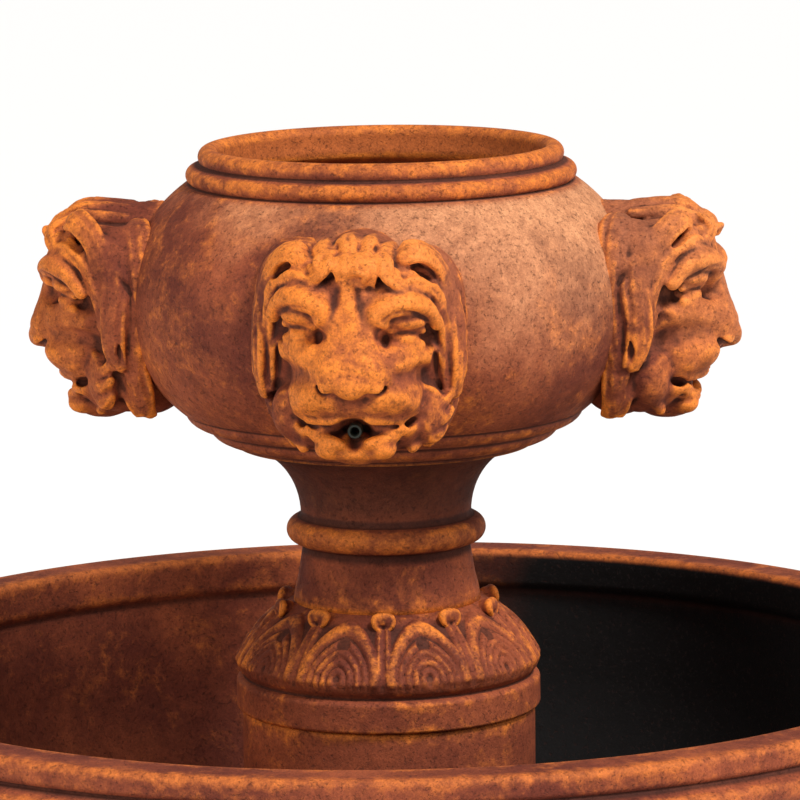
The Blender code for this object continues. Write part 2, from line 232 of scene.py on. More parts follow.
class Clay:
    """A block of clay: each grid point holds its distance to the surface, minus inside."""

    def __init__(self, low, high, pitch):
        self.pitch = pitch
        self.axes = [np.arange(a, b, pitch, dtype=np.float32) for a, b in zip(low, high)]
        self.field = np.full([len(axis) for axis in self.axes], BAND, dtype=np.float32)
        self.grid = np.meshgrid(*self.axes, indexing="ij", sparse=True)

    def window(self, low, high):
        """The part of the grid that a shape between two corners can change."""
        part = []
        for axis, a, b in zip(self.axes, low, high):
            first, last = np.searchsorted(axis, (a - BAND, b + BAND))
            part.append(slice(first, last))
        cut = [axis[piece] for axis, piece in zip(self.axes, part)]
        return tuple(part), np.meshgrid(*cut, indexing="ij", sparse=True)

    def add(self, shape, blend=3.0):
        distance, low, high = shape
        part, grid = self.window(low, high)
        here, there = self.field[part], distance(grid)
        mix = np.clip(0.5 + 0.5 * (here - there) / blend, 0.0, 1.0)
        self.field[part] = here + (there - here) * mix - blend * mix * (1.0 - mix)

    def cut(self, shape, blend=1.5):
        distance, low, high = shape
        part, grid = self.window(low, high)
        here, there = self.field[part], -distance(grid)
        mix = np.clip(0.5 - 0.5 * (here - there) / blend, 0.0, 1.0)
        self.field[part] = here + (there - here) * mix + blend * mix * (1.0 - mix)

    def lumps(self, side, *rows):
        """Add balls in order, each by centre, radii and blend, then its turn and tilt if it has them."""
        for (across, reach, height), radii, blend, *angles in rows:
            turn, tilt = (*angles, 0.0, 0.0)[:2]
            self.add(ball((side * across, reach, height), radii, -side * turn, tilt), blend)

    def front(self, side, height):
        """The reach of the foremost clay at a side and a height."""
        i, k = (int(np.searchsorted(self.axes[axis], value)) for axis, value in ((0, side), (2, height)))
        column = self.field[i, :, k]
        last = int(np.flatnonzero(column < 0)[-1])
        return self.axes[1][last] + self.pitch * column[last] / (column[last] - column[last + 1])

    def groove(self, knots, start, end, sink, blend):
        """A groove along the front, through knots of side and height."""
        line = through([(s, 0.0, z) for s, z in knots], 13)
        points = [(s, self.front(s, z) - sink, z) for s, _, z in line]
        self.cut(strand(points, np.linspace(start, end, len(points))), blend)

    def blurred(self, reach):
        """The field averaged over a cube of about twice the reach."""
        cells = max(int(round(reach / self.pitch)), 1)
        result = np.clip(self.field, -BAND, BAND)
        for axis in range(3):
            pad = [(cells + 1, cells) if a == axis else (0, 0) for a in range(3)]
            total = np.cumsum(np.pad(result, pad, mode="edge"), axis=axis, dtype=np.float64)
            count = result.shape[axis]
            ahead = np.take(total, range(2 * cells + 1, 2 * cells + 1 + count), axis=axis)
            behind = np.take(total, range(count), axis=axis)
            result = ((ahead - behind) / (2 * cells + 1)).astype(np.float32)
        return result

    def skin(self):
        """The surface as vertices and quads."""
        field = self.field
        corners = [(i, j, k) for i in (0, 1) for j in (0, 1) for k in (0, 1)]
        shape = [n - 1 for n in field.shape]

        def corner(i, j, k):
            return field[i:i + shape[0], j:j + shape[1], k:k + shape[2]]

        count = sum((corner(*c) < 0).astype(np.int8) for c in corners)
        cells = np.argwhere((count > 0) & (count < 8))
        number = np.full(shape, -1, dtype=np.int64)
        number[tuple(cells.T)] = np.arange(len(cells))
        values = {c: corner(*c)[tuple(cells.T)] for c in corners}
        total = np.zeros((len(cells), 3), dtype=np.float64)
        hits = np.zeros(len(cells))
        for start in corners:
            for axis in range(3):
                if start[axis]:
                    continue
                end = tuple(1 if a == axis else start[a] for a in range(3))
                v0, v1 = values[start], values[end]
                crossed = (v0 < 0) != (v1 < 0)
                share = np.where(crossed, v0 / np.where(crossed, v0 - v1, 1.0), 0.0)
                point = np.tile(np.array(start, float), (len(cells), 1))
                point[:, axis] += share
                total += point * crossed[:, None]
                hits += crossed
        verts = (cells + total / hits[:, None]) * self.pitch + [axis[0] for axis in self.axes]
        quads = []
        for axis in range(3):
            b, c = (axis + 1) % 3, (axis + 2) % 3
            low = [slice(None)] * 3
            high = [slice(None)] * 3
            low[axis], high[axis] = slice(0, -1), slice(1, None)
            inside = field < 0
            change = inside[tuple(low)].astype(np.int8) - inside[tuple(high)].astype(np.int8)
            edges = np.argwhere(change)
            row, column = edges[:, b], edges[:, c]
            edges = edges[(row > 0) & (column > 0) & (row < shape[b]) & (column < shape[c])]
            ring = []
            for db, dc in ((1, 1), (0, 1), (0, 0), (1, 0)):
                cell = edges.copy()
                cell[:, b] -= db
                cell[:, c] -= dc
                ring.append(number[tuple(cell.T)])
            quad = np.stack(ring, axis=1)
            backwards = change[tuple(edges.T)] < 0
            quad[backwards] = quad[backwards][:, ::-1]
            quads.append(quad)
        return verts, np.concatenate(quads)

    def sample(self, field, points):
        """A field's value at any points, from the grid points round each."""
        place = [(points[:, axis] - self.axes[axis][0]) / self.pitch for axis in range(3)]
        cell = [np.clip(p.astype(int), 0, n - 2) for p, n in zip(place, field.shape)]
        share = [p - c for p, c in zip(place, cell)]
        total = 0.0
        for corner in np.ndindex(2, 2, 2):
            weight = 1.0
            for axis in range(3):
                weight = weight * (share[axis] if corner[axis] else 1.0 - share[axis])
            total = total + weight * field[tuple(c + step for c, step in zip(cell, corner))]
        return total


def ball(centre, radii, turn=0.0, tilt=0.0, lean=0.0):
    """An ellipsoid; turn is about the height, tilt about the side, lean about the reach."""
    centre, radii = np.array(centre, np.float32), np.array(radii, np.float32)
    spin = Matrix.Rotation(math.radians(turn), 3, "Z") @ Matrix.Rotation(math.radians(tilt), 3, "X")
    spin = np.array(spin @ Matrix.Rotation(math.radians(lean), 3, "Y"), np.float32)

    def distance(grid):
        px, py, pz = (g - c for g, c in zip(grid, centre))
        near = 0.0
        steep = 0.0
        for axis in range(3):
            along = (px * spin[0, axis] + py * spin[1, axis] + pz * spin[2, axis]) / radii[axis]
            near = near + along ** 2
            steep = steep + (along / radii[axis]) ** 2
        near = np.sqrt(near)
        return near * (near - 1.0) / np.sqrt(np.maximum(steep, 1e-9))

    size = np.sqrt(((spin * radii) ** 2).sum(axis=1))
    return distance, centre - size, centre + size


def strand(points, radii):
    """A rounded strand through points, with a thickness radius at each."""
    points, radii = np.asarray(points, np.float32), np.asarray(radii, np.float32)

    def distance(grid):
        nearest = None
        for a, b, ra, rb in zip(points, points[1:], radii, radii[1:]):
            along = b - a
            apart = [g - c for g, c in zip(grid, a)]
            share = sum(p * step for p, step in zip(apart, along)) / max(float(along @ along), 1e-6)
            share = np.clip(share, 0.0, 1.0)
            gap = np.sqrt(sum((p - share * step) ** 2 for p, step in zip(apart, along)))
            gap = gap - (ra + (rb - ra) * share)
            nearest = gap if nearest is None else np.minimum(nearest, gap)
        return nearest

    most = radii.max()
    return distance, points.min(axis=0) - most, points.max(axis=0) + most


def through(knots, count):
    """Points of a smooth curve through the knots."""
    knots = np.array(knots, float)
    padded = np.vstack([2 * knots[0] - knots[1], knots, 2 * knots[-1] - knots[-2]])
    result = []
    for position in np.linspace(0.0, len(knots) - 1.0, count):
        first = min(int(position), len(knots) - 2)
        t = position - first
        a, b, c, d = padded[first:first + 4]
        result.append(0.5 * (2 * b + (c - a) * t + (2 * a - 5 * b + 4 * c - d) * t ** 2
                             + (3 * b - a - 3 * c + d) * t ** 3))
    return np.array(result)


def mirrored(knots, side):
    return [(side * s, r, z) for s, r, z in knots]


def roll(knots, radii, side=1, steps=9):
    """A strand along a smooth curve, with one thickness, one for each end, or one for each step."""
    radii = np.atleast_1d(radii)
    if len(radii) < steps:
        radii = np.linspace(radii[0], radii[-1], steps)
    return strand(through(mirrored(knots, side), steps), radii)


# Lion head, in millimetres. A forelock is given by its side, lift and lower end, a cap strand by
# its side and top, a fan lobe by its foot, top, height and width, a slot by its side and height,
# a beard lock by the height of its root and its tip, and a nick by its reaches and heights.

HEAD_LOW = (-118.0, 186.0, 626.0)
HEAD_HIGH = (118.0, 366.0, 876.0)
HEAD_CORE = np.array((0.0, 225.0, 755.0))
HEAD_SINK = 8.0               # how far a head goes into the bowl's side
SIDES = (-1, 1)
MANE_WIDTH = 0.92
MANE_RISES = ((-1, -3.0), (1, 4.0))
SWAY = 0.22
LOCK_SEAT = 2.6
FORELOCKS = ((-10, 0, 819), (-1, 2, 815), (9, 3, 815), (18, 1, 817))
CAP_STRANDS = ((-20, 832), (-8, 838), (5, 840), (18, 838), (28, 832))
FAN_LOBES = ((-36, -42, 832, 3.5), (-24, -28, 844, 6.5), (-3, -4, 851, 8.5),
             (15, 16, 850, 4.5), (29, 32, 844, 6.0), (41, 46, 832, 3.5))
FAN_SLOTS = ((-14, 846), (7, 850), (22, 847))
BEARD_LOCKS = {-1: ((706, 84, 684),), 1: ((712, 97, 699), (698, 97, 683), (684, 90, 666))}
MANE_NICKS = (((262, 832), (250, 818), (248, 804)), ((250, 794), (244, 786), (240, 779)),
              ((252, 726), (252, 716), (251, 706)))
WEATHER = ((4.6, 0.3), (2.1, 0.08))
MARK_REACHES = (2.5, 9.0)
FORWARD_FROM = 258.0
FORWARD_TO = 322.0


def lock(clay, knots, width, thickness, strands, tip, depth=0.5):
    """A lock of hair: a full body along a path with strands side by side on it."""
    path = through(knots, 13)
    share = np.linspace(0.0, 1.0, len(path))
    tangent = np.gradient(path, axis=0)
    across = np.cross(tangent, path - HEAD_CORE)
    across /= np.linalg.norm(across, axis=1)[:, None]
    outward = np.cross(across, tangent)
    outward /= np.linalg.norm(outward, axis=1)[:, None]
    outward *= np.sign((outward * (path - HEAD_CORE)).sum(axis=1))[:, None]
    taper = (0.7 + 0.3 * np.minimum(share / 0.25, 1.0)) * (1.0 - (1.0 - tip) * share ** 2.2)
    body = path - outward * (0.75 * thickness * taper)[:, None]
    shapes = [strand(body, (0.6 * width + 0.62 * thickness) * taper)]
    start = float(path[0].sum())
    for index in range(strands):
        place = 0.0 if strands == 1 else 2.0 * index / (strands - 1) - 1.0
        sway = SWAY * thickness * np.sin(8.0 * share + 1.9 * index + start)
        points = path + across * (place * width * taper + sway)[:, None]
        points = points + outward * ((1.0 - place * place) * thickness * 0.5 * taper)[:, None]
        shapes.append(strand(points, thickness * taper * (1.0 - 0.12 * abs(place))))
    blend = thickness * (1.0 - depth)

    def together(grid):
        nearest = None
        for distance, low, high in shapes:
            gap = distance(grid)
            if nearest is None:
                nearest = gap
                continue
            mix = np.clip(0.5 + 0.5 * (nearest - gap) / blend, 0.0, 1.0)
            nearest = nearest + (gap - nearest) * mix - blend * mix * (1.0 - mix)
        return nearest

    lows, highs = [low for _, low, _ in shapes], [high for _, _, high in shapes]
    clay.add((together, np.min(lows, axis=0), np.max(highs, axis=0)), LOCK_SEAT)


def model_skull(clay):
    clay.lumps(1, ((0, 226, 752), (88, 56, 84), 2.0), ((0, 248, 750), (74, 68, 80), 8.0),
               ((0, 236, 686), (58, 44, 46), 10.0), ((2, 256, 822), (34, 70, 28), 6.0),
               ((0, 288, 806), (50, 36, 20), 8.0))
    for side in SIDES:
        clay.lumps(side, ((60, 258, 806), (28, 40, 32), 7.0), ((67, 240, 798), (26, 44, 44), 7.0),
                   ((67, 236, 748), (27, 42, 52), 7.0), ((77, 262, 804), (16, 20, 28), 6.0),
                   ((82, 244, 752), (15, 22, 52), 6.0))


def model_muzzle(clay):
    """The block of the muzzle and the jaw, the cheekbones and the hollows under them."""
    clay.lumps(1, ((0, 292, 716), (56, 44, 38), 12.0), ((0, 282, 653), (36, 30, 16), 6.0))
    for side in SIDES:
        clay.lumps(side, ((40, 258, 672), (26, 38, 24), 8.0), ((27, 302, 697), (29, 38, 17.5), 6.0, 18, 24),
                   ((41, 288, 699), (17, 27, 15), 8.0, 32), ((28, 312, 740), (25, 24, 27), 14.0),
                   ((39, 283, 720), (24, 32, 26), 12.0, 26))
        clay.add(roll([(34, 314, 744), (50, 306, 746), (62, 291, 745), (68, 275, 742)], 11.0, side), 8.0)
        hollow = [(46, 331, 728), (56, 321, 727), (66, 304, 725), (73, 285, 722)]
        clay.cut(roll(hollow, (4.0, 11.0), side), 9.0)


def model_nose(clay):
    """The bridge, the tip and its wings, with the nostrils cut under them."""
    for place in (-1.0, -0.5, 0.0, 0.5, 1.0):
        bridge = [(place * 5 - 3, 317, 808), (place * 9 - 2, 322, 784), (place * 15, 329, 756),
                  (place * 19, 337, 733)]
        clay.add(roll(bridge, (9.0, 13.0)), 12.0)
    clay.lumps(1, ((0, 338, 722), (28, 19, 11), 5.0), ((0, 341, 716), (13, 15, 8.5), 6.0))
    for side in SIDES:
        clay.lumps(side, ((22, 334, 718), (10, 16, 9), 3.0))
        nostril = [(33, 326, 724), (27, 338, 714), (14, 345, 708), (1, 346, 703)]
        clay.cut(roll(nostril, (2.0, 3.0, 4.2, 5.4, 6.0, 6.0, 5.4, 4.4, 3.6), side), 1.2)


def model_mouth(clay):
    """The lips, the open mouth, the tongue and the whisker marks."""
    clay.cut(strand([(0, 347, 702), (0, 338, 694), (0, 329, 684)], [4.0, 3.8, 3.0]), 2.5)
    for side in SIDES:
        for row in range(3):
            for column in range(4):
                across, height = side * (13 + column * 8.5 + row * 1.5), 703 - row * 5.5 + column * 0.5
                whisker = (across, clay.front(across, height), height)
                clay.cut(ball(whisker, (2.0, 1.5, 1.1), lean=side * 10), 0.8)
        clay.lumps(side, ((36, 285, 674), (22, 25, 11), 5.0), ((62, 268, 686), (21, 20, 28), 6.0),
                   ((25, 300, 655), (14, 15, 11), 4.0))
        clay.add(roll([(14, 311, 661), (26, 309, 664), (40, 300, 668), (54, 285, 675)], 6.0, side), 4.0)
        clay.add(roll([(14, 322, 684), (34, 313, 683), (52, 298, 687), (61, 284, 697)], 3.8, side), 5.0)
        slit = [(0, 326, 679), (18, 320, 677), (36, 310, 676), (50, 294, 681)]
        clay.cut(roll(slit, (2.8, 2.4), side), 1.5)
        clay.cut(ball((side * 50, 295, 679), (10, 9, 5), lean=-side * 20), 2.0)
        clay.add(roll([(61, 284, 692), (66, 275, 679), (62, 272, 664), (52, 278, 652)], 5.5, side), 4.0)
        under = mirrored([(45, 300, 664), (51, 296, 659), (58, 290, 653)], side)
        clay.cut(strand(under, [3.5, 6.0, 3.0]), 2.0)
    clay.cut(ball((-1, 324, SPOUT_HEIGHT + 2), (20.0, 38, 12.5)), 2.0)
    clay.cut(strand([(0, 296, 667), (0, 312, 661), (0, 320, 652)], [7.0, 8.0, 6.5]), 3.0)


def model_eyes(clay):
    """The brows, the narrow eyes between their lids and the furrows beside the nose."""
    for side in SIDES:
        clay.lumps(side, ((37, 300, 799), (33, 33, 21), 8.0, 18))
        brow = [(20, 330, 785), (34, 333, 794), (54, 324, 799), (70, 306, 793), (78, 292, 777)]
        clay.add(roll(brow, (10.0, 7.0), side, 11), 8.0)
        clay.lumps(side, ((24, 327, 778), (12, 12, 12), 6.0))
        clay.cut(ball((side * 46, 330, 766), (22, 16, 8.5), turn=-side * 22), 7.0)
        clay.lumps(side, ((49, 308, 781), (21, 17, 10), 4.0, 24))
        crease = [(side * 31, 783), (side * 42, 791), (side * 58, 791), (side * 71, 780)]
        clay.groove(crease, 2.0, 2.0, -0.2, 2.0)
        clay.lumps(side, ((46, 303, 764), (15, 17, 9), 1.0, 22))
        clay.add(roll([(31, 317, 769), (42, 317, 775), (55, 310, 775.5), (65, 300, 771)], 3.6, side), 4.0)
        clay.add(roll([(35, 318, 756), (49, 315, 755), (64, 302, 758)], 4.0, side), 6.0)
        slit = [(30, 326, 763), (42, 324, 769), (56, 317, 769.5), (69, 303, 764)]
        clay.cut(roll(slit, (3.0, 3.0, 2.8, 2.6, 2.4, 2.2, 2.0, 1.8, 1.4), side), 1.0)
        clay.cut(ball((side * 32, 324, 764), (5.2, 12, 7.5)), 2.0)
        clay.cut(ball((side * 39, 324, 763.5), (8.0, 7, 5.5)), 1.5)
        furrow = [(side * 11 - 3, 812), (side * 12 - 3, 800), (side * 15 - 2, 784), (side * 28, 771)]
        clay.groove(furrow, 3.4, 3.8, -1.6, 5.0)


def model_forelock(clay):
    """The block of hair over the brow, the lobes beside it and the fan behind it."""
    for place, lift, bottom in FORELOCKS:
        knots = [(place * 0.8, 312, 840 + lift), (place, 324, 836 + lift), (place * 1.1, 330, 828),
                 (place, 326, bottom)]
        lock(clay, knots, 2.8, 4.2, 2, 0.8, 0.8)
    lock(clay, [(0, 332, 825), (8, 336, 828), (15, 335, 825), (13, 332, 819)], 1.5, 3.0, 1, 0.7)
    for place in (-26, 33):
        knots = [(place * 0.8, 312, 842), (place, 325, 835), (place * 1.1, 328, 825), (place * 1.5, 322, 813)]
        lock(clay, knots, 5.0, 5.0, 2, 0.6)
    for slot in (-17, 25):
        knots = [(slot * 0.9, 340, 836), (slot * 1.15, 341, 827), (slot * 0.8, 338, 816)]
        clay.cut(roll(knots, 2.4, steps=7), 1.0)
    for place, top in CAP_STRANDS:
        clay.add(strand([(place, 288, top - 1), (place * 0.9, 205, top + 2)], [13.0, 13.0]), 6.0)
    clay.lumps(1, ((3, 280, 828), (40, 32, 22), 5.0))
    for foot, top, height, width in FAN_LOBES:
        knots = [(foot, 318, 828), (foot, 312, height - 10), (top, 299, height - 1), (top, 278, height),
                 (top, 250, height - 2)]
        lock(clay, knots, width, 5.0, 4, 0.85, 0.7)
    for slot, height in FAN_SLOTS:
        clay.cut(ball((slot, 311, height), (1.8, 12, 6.5), lean=slot * 0.8), 1.2)


def model_mane(clay, side, rise):
    """The locks of one side and the gaps between them; rise lifts the curl at the top."""
    def hair(knots, width, thickness, strands=3, tip=0.6, depth=0.68):
        lock(clay, mirrored(knots, side * MANE_WIDTH), width, thickness, strands, tip, depth)

    hair([(50, 240, 840), (78, 237, 836), (97, 234, 814), (104, 232, 780), (104, 232, 745), (101, 234, 716),
          (98, 238, 700)], 11, 5.4, 4)
    hair([(44, 292, 830 + rise), (54, 302, 840 + rise), (70, 296, 841 + rise), (86, 280, 827 + rise),
          (95, 267, 805), (98, 262, 780)], 10, 4.6, 4, 0.7, 0.5)
    hair([(99, 256, 800), (103, 256, 772), (104, 259, 745), (104, 258, 720), (100, 252, 700)],
         11.5, 5.0, 4)
    hair([(30, 318, 805), (46, 317, 815), (63, 308, 819), (78, 296, 813), (88, 284, 799), (91, 276, 780)],
         6.5, 4.6)
    hair([(84, 287, 800), (91, 274, 778), (92, 267, 752), (91, 264, 728), (93, 260, 707)], 6.5, 4.2, tip=0.7)
    hair([(62, 300, 836 + rise), (52, 306, 838 + rise), (48, 304, 830 + rise), (56, 302, 827 + rise)],
         2, 3.6, 1, 0.8)
    clay.cut(ball((side * 68, 300, 823 + rise * 0.5), (15, 15, 4.6), turn=-side * 40, lean=side * 36), 2.0)
    clay.cut(ball((side * 75, 283, 727), (4.5, 17, 22)), 3.0)
    for knots in MANE_NICKS:
        nick = [(side * 99, reach, height) for reach, height in knots]
        clay.cut(strand(nick, [2.4, 3.6, 2.4]), 1.5)
    for low, tip_across, tip_height in BEARD_LOCKS[side]:
        hair([(58, 286, low), (70, 281, low - 8), (tip_across - 14, 274, tip_height - 5),
              (tip_across - 6, 268, tip_height - 3), (tip_across, 262, tip_height + 4)],
             6.0, 4.0, 3, 0.5, 0.8)
    hair([(97, 238, 708), (93, 236, 686), (82, 232, 664), (68, 228, 648)], 10, 4.6, 4)
    for place in (50, 64, 78):
        hair([(place, 254, 690), (place + 3, 246, 668), (place - 6, 238, 648)], 5.0, 5.0, 2, 0.5)


def weather(clay):
    """Soften the tool marks into the slight unevenness of worn cast stone."""
    side, reach, height = clay.grid
    for step, depth in WEATHER:
        wave = np.sin(side / step + 2.0 * np.sin(height / (1.7 * step)))
        wave = wave * np.sin(height / step + 1.6 * np.sin(reach / (1.3 * step)))
        wave = wave * np.sin(reach / step + side / (2.1 * step))
        clay.field += np.float32(depth) * wave.astype(np.float32)


def bowl_clearance(grid):
    """How far a grid point stands out of the bowl's side, measured level."""
    side, reach, height = grid
    heights = np.maximum(height.ravel(), BOWL_BOTTOM)
    level = [bowl_radius(BOWL_RADIUS, BOWL_MIDDLE, BOWL_HALF_HEIGHT, float(z)) for z in heights]
    return np.sqrt(side ** 2 + reach ** 2) - np.array(level, np.float32).reshape(1, 1, -1)


def sculpted_head(pitch):
    """One lion head in clay, in millimetres."""
    clay = Clay(HEAD_LOW, HEAD_HIGH, pitch)
    model_skull(clay)
    model_muzzle(clay)
    model_nose(clay)
    model_eyes(clay)
    for side, rise in MANE_RISES:
        model_mane(clay, side, rise)
    model_forelock(clay)
    model_mouth(clay)
    weather(clay)
    clay.field = np.maximum(clay.field, -(bowl_clearance(clay.grid) + HEAD_SINK))
    for axis in range(3):
        edge = [slice(None)] * 3
        for end in (0, -1):
            edge[axis] = end
            clay.field[tuple(edge)] = BAND
    return clay


def head_mesh(pitch, most_faces):
    """The carved head as a mesh in metres, looking along -Y, with its marks for the stone."""
    clay = sculpted_head(pitch)
    verts, quads = clay.skin()
    raw = bpy.data.meshes.new("lion_head")
    raw.from_pydata(verts.tolist(), [], quads.tolist())
    piece = add_object("lion_head", raw)
    whole = piece.modifiers.new("whole", "REMESH")
    whole.mode = "VOXEL"
    whole.voxel_size = pitch
    faces = len(settled(piece).data.polygons)
    thinner = piece.modifiers.new("thinner", "DECIMATE")
    thinner.ratio = min(most_faces / (2.0 * faces), 1.0)
    mesh = settled(piece).data
    bpy.data.objects.remove(piece)
    verts = np.empty(len(mesh.vertices) * 3, np.float32)
    mesh.vertices.foreach_get("co", verts)
    verts = verts.reshape(-1, 3).astype(float)
    raised, broad = (clay.sample(clay.blurred(reach), verts) / reach for reach in MARK_REACHES)
    set_marks(mesh, raised=raised, broad=broad, forward=eased(verts[:, 1], FORWARD_FROM, FORWARD_TO))
    lean = eased(verts[:, 2], FACE_ROLL_FROM, FACE_ROLL_TO)
    verts[:, 2] -= FACE_ROLL * verts[:, 0] * lean
    verts = np.stack([verts[:, 0], -verts[:, 1], verts[:, 2]], axis=1) * MM
    mesh.vertices.foreach_set("co", verts.astype(np.float32).ravel())
    mesh.flip_normals()
    mesh.shade_smooth()
    return mesh


# Meshes

def set_marks(mesh, **marks):
    """Store a number for each vertex under each name, for the stone's colours."""
    for name, values in marks.items():
        layer = mesh.attributes.new(name, "FLOAT", "POINT")
        layer.data.foreach_set("value", np.asarray(values, np.float32))


def add_object(name, data):
    """An object of the given data, linked to the scene."""
    thing = bpy.data.objects.new(name, data)
    bpy.context.scene.collection.objects.link(thing)
    return thing


def settled(piece):
    """Replace a piece's mesh by what its modifiers make of it, and drop the modifiers."""
    graph = bpy.context.evaluated_depsgraph_get()
    raw = piece.data
    mesh = bpy.data.meshes.new_from_object(piece.evaluated_get(graph))
    mesh.name = piece.name
    piece.modifiers.clear()
    piece.data = mesh
    bpy.data.meshes.remove(raw)
    return piece


def smoothed(values, reach, places):
    """A running average of values over a distance along an outline."""
    result = []
    for place in places:
        near = np.abs(places - place) <= reach
        result.append(values[near].mean(axis=0))
    return np.array(result)


def outline_marks(points, reach):
    """How far each outline point stands proud of its surroundings, in parts of the reach."""
    points = np.array(points)
    steps = np.hypot(*np.diff(points, axis=0).T)
    places = np.concatenate([[0.0], np.cumsum(steps)])
    even = np.arange(0.0, places[-1], MARK_STEP)
    smooth = np.stack([np.interp(even, places, points[:, axis]) for axis in (0, 1)], axis=1)
    mean = smoothed(smooth, reach, even)
    along = np.gradient(smooth, axis=0)
    along /= np.maximum(np.hypot(*along.T), 1e-6)[:, None]
    outward = np.stack([-along[:, 1], along[:, 0]], axis=1)
    proud = ((smooth - mean) * outward).sum(axis=1) / reach
    return np.interp(places, even, proud)


MARK_STEP = 0.75
RAISED_REACH = 4.0
BROAD_REACH = 14.0
WHEEL_RADIUS = 1.0
WELD = 0.00005
BASIN_STRETCH = 14.0          # the longest stretch in the basin's outline, and in the others
STRETCH = 12.0


class NodeMaker:
    """Adds nodes to a node tree."""

    def link(self, value, socket):
        """Link a socket or an amount to a socket, or set the socket's own value."""
        if isinstance(value, Amount):
            value = value.socket
        if isinstance(value, bpy.types.NodeSocket):
            self.tree.links.new(value, socket)
        else:
            socket.default_value = value

    def node(self, kind, settings=None, *values, **named):
        """A node of a type, its settings first and then its sockets' values or links."""
        node = self.tree.nodes.new(kind)
        for name, value in (settings or {}).items():
            setattr(node, name, value)
        for socket, value in zip(node.inputs, values):
            self.link(value, socket)
        for label, value in named.items():
            self.link(value, node.inputs[label.replace("_", " ")])
        return node


class GeometryTree(NodeMaker):
    """A Geometry Nodes tree with named inputs, among them the stone and a welding distance."""

    def __init__(self, name, **inputs):
        self.tree = bpy.data.node_groups.new(name, "GeometryNodeTree")
        self.identifiers = {}
        kinds = {"Geometry": "Geometry", **inputs, "Weld": "Float", "Stone": "Material"}
        for label, kind in kinds.items():
            socket = self.tree.interface.new_socket(label.replace("_", " "), in_out="INPUT",
                                                    socket_type=f"NodeSocket{kind}")
            self.identifiers[label] = socket.identifier
        self.tree.interface.new_socket("Geometry", in_out="OUTPUT", socket_type="NodeSocketGeometry")
        self.given = self.tree.nodes.new("NodeGroupInput").outputs

    def finish(self, geometry):
        """Weld the seams, and end the tree in Realize Instances and Set Material."""
        closed = self.node("GeometryNodeMergeByDistance", Geometry=geometry, Distance=self.given["Weld"])
        smooth = self.node("GeometryNodeSetShadeSmooth", Geometry=closed.outputs[0], Shade_Smooth=True)
        real = self.node("GeometryNodeRealizeInstances", Geometry=smooth.outputs[0])
        painted = self.node("GeometryNodeSetMaterial", Geometry=real.outputs[0], Material=self.given["Stone"])
        self.node("NodeGroupOutput", {}, painted.outputs[0])
        return self

    def run(self, piece, **values):
        modifier = piece.modifiers.new(self.tree.name, "NODES")
        modifier.node_group = self.tree
        for label, value in values.items():
            modifier[self.identifiers[label]] = value
        return settled(piece)


def lathe_tree():
    """Turns an outline, drawn in the XZ plane, round the Z axis."""
    tree = GeometryTree("Lathe", Segments="Int", Wheel_radius="Float")
    given = tree.given
    outline = tree.node("GeometryNodeMeshToCurve", Mesh=given["Geometry"])
    wheel = tree.node("GeometryNodeCurvePrimitiveCircle", Resolution=given["Segments"],
                      Radius=given["Wheel radius"])
    body = tree.node("GeometryNodeCurveToMesh", Curve=wheel.outputs["Curve"],
                     Profile_Curve=outline.outputs["Curve"])
    return tree.finish(body.outputs["Mesh"])


def ring_tree():
    """Sets copies of one sector of carving in a ring round the Z axis, joined into one skin."""
    tree = GeometryTree("Carved ring", Copies="Int", First_turn="Float")
    given = tree.given
    points = tree.node("GeometryNodePoints", Count=given["Copies"], Radius=0.01)
    index = tree.node("GeometryNodeInputIndex")
    share = tree.node("ShaderNodeMath", {"operation": "DIVIDE"}, index.outputs[0], given["Copies"])
    turn = tree.node("ShaderNodeMath", {"operation": "MULTIPLY_ADD"},
                     share.outputs[0], 2.0 * math.pi, given["First turn"])
    spin = tree.node("ShaderNodeCombineXYZ", Z=turn.outputs[0])
    copies = tree.node("GeometryNodeInstanceOnPoints", Points=points.outputs[0], Instance=given["Geometry"],
                       Rotation=spin.outputs[0])
    real = tree.node("GeometryNodeRealizeInstances", Geometry=copies.outputs[0])
    return tree.finish(real.outputs[0])


def turned_piece(name, outline, segments, stone):
    """A closed turned piece; its outline runs down the outer side and starts and ends on the axis."""
    points = np.array(outline) * MM
    mesh = bpy.data.meshes.new(name)
    verts = [(r - WHEEL_RADIUS, -z, 0.0) for r, z in points]
    mesh.from_pydata(verts, [(i, i + 1) for i in range(len(verts) - 1)], [])
    inner = np.arange(len(points)) < np.argmax(points[:, 1])
    set_marks(mesh, raised=outline_marks(outline, RAISED_REACH), broad=outline_marks(outline, BROAD_REACH),
              inner=inner)
    piece = add_object(name, mesh)
    return lathe_tree().run(piece, Segments=segments, Wheel_radius=WHEEL_RADIUS, Weld=WELD, Stone=stone)


# The leaf carving: a raised height over the foot's side, in millimetres. A ring or the arch is
# given by its place, half width and height, the hollow by its half width, half height and depth,
# and a tongue and its split by a half width and a height.

LEAF_SPAN = 137.0            # the radius at which the carving's widths are measured
EYE_HEIGHT = 398.0
OGIVE = 0.5
OGIVE_RISE = 1.2
LEAF_RINGS = ((6.0, 3.1, 2.6), (12.9, 3.3, 3.3), (19.8, 3.3, 3.5), (26.8, 3.3, 3.2))
ARCH_OGIVE = 0.12
ARCH_RISE = 0.91
ARCH = (35.5, 5.6, 4.4)
LEAF_HOLLOW_RISE = 31.0
LEAF_HOLLOW_SIZE = (8.0, 6.5, 3.2)
TONGUE = (8.5, 4.2)
TONGUE_SPLIT = (3.4, 2.6)
TONGUE_FOOT = 392.0
CARVED_ABOVE = (384.0, 396.0)
LOW_TO = (440.0, 448.0)
LOW_RELIEF = 1.8


def bulge(distance, half_width, height):
    """A rounded ridge, high in the middle."""
    return height * np.sqrt(np.clip(1.0 - (distance / half_width) ** 2, 0.0, 1.0))


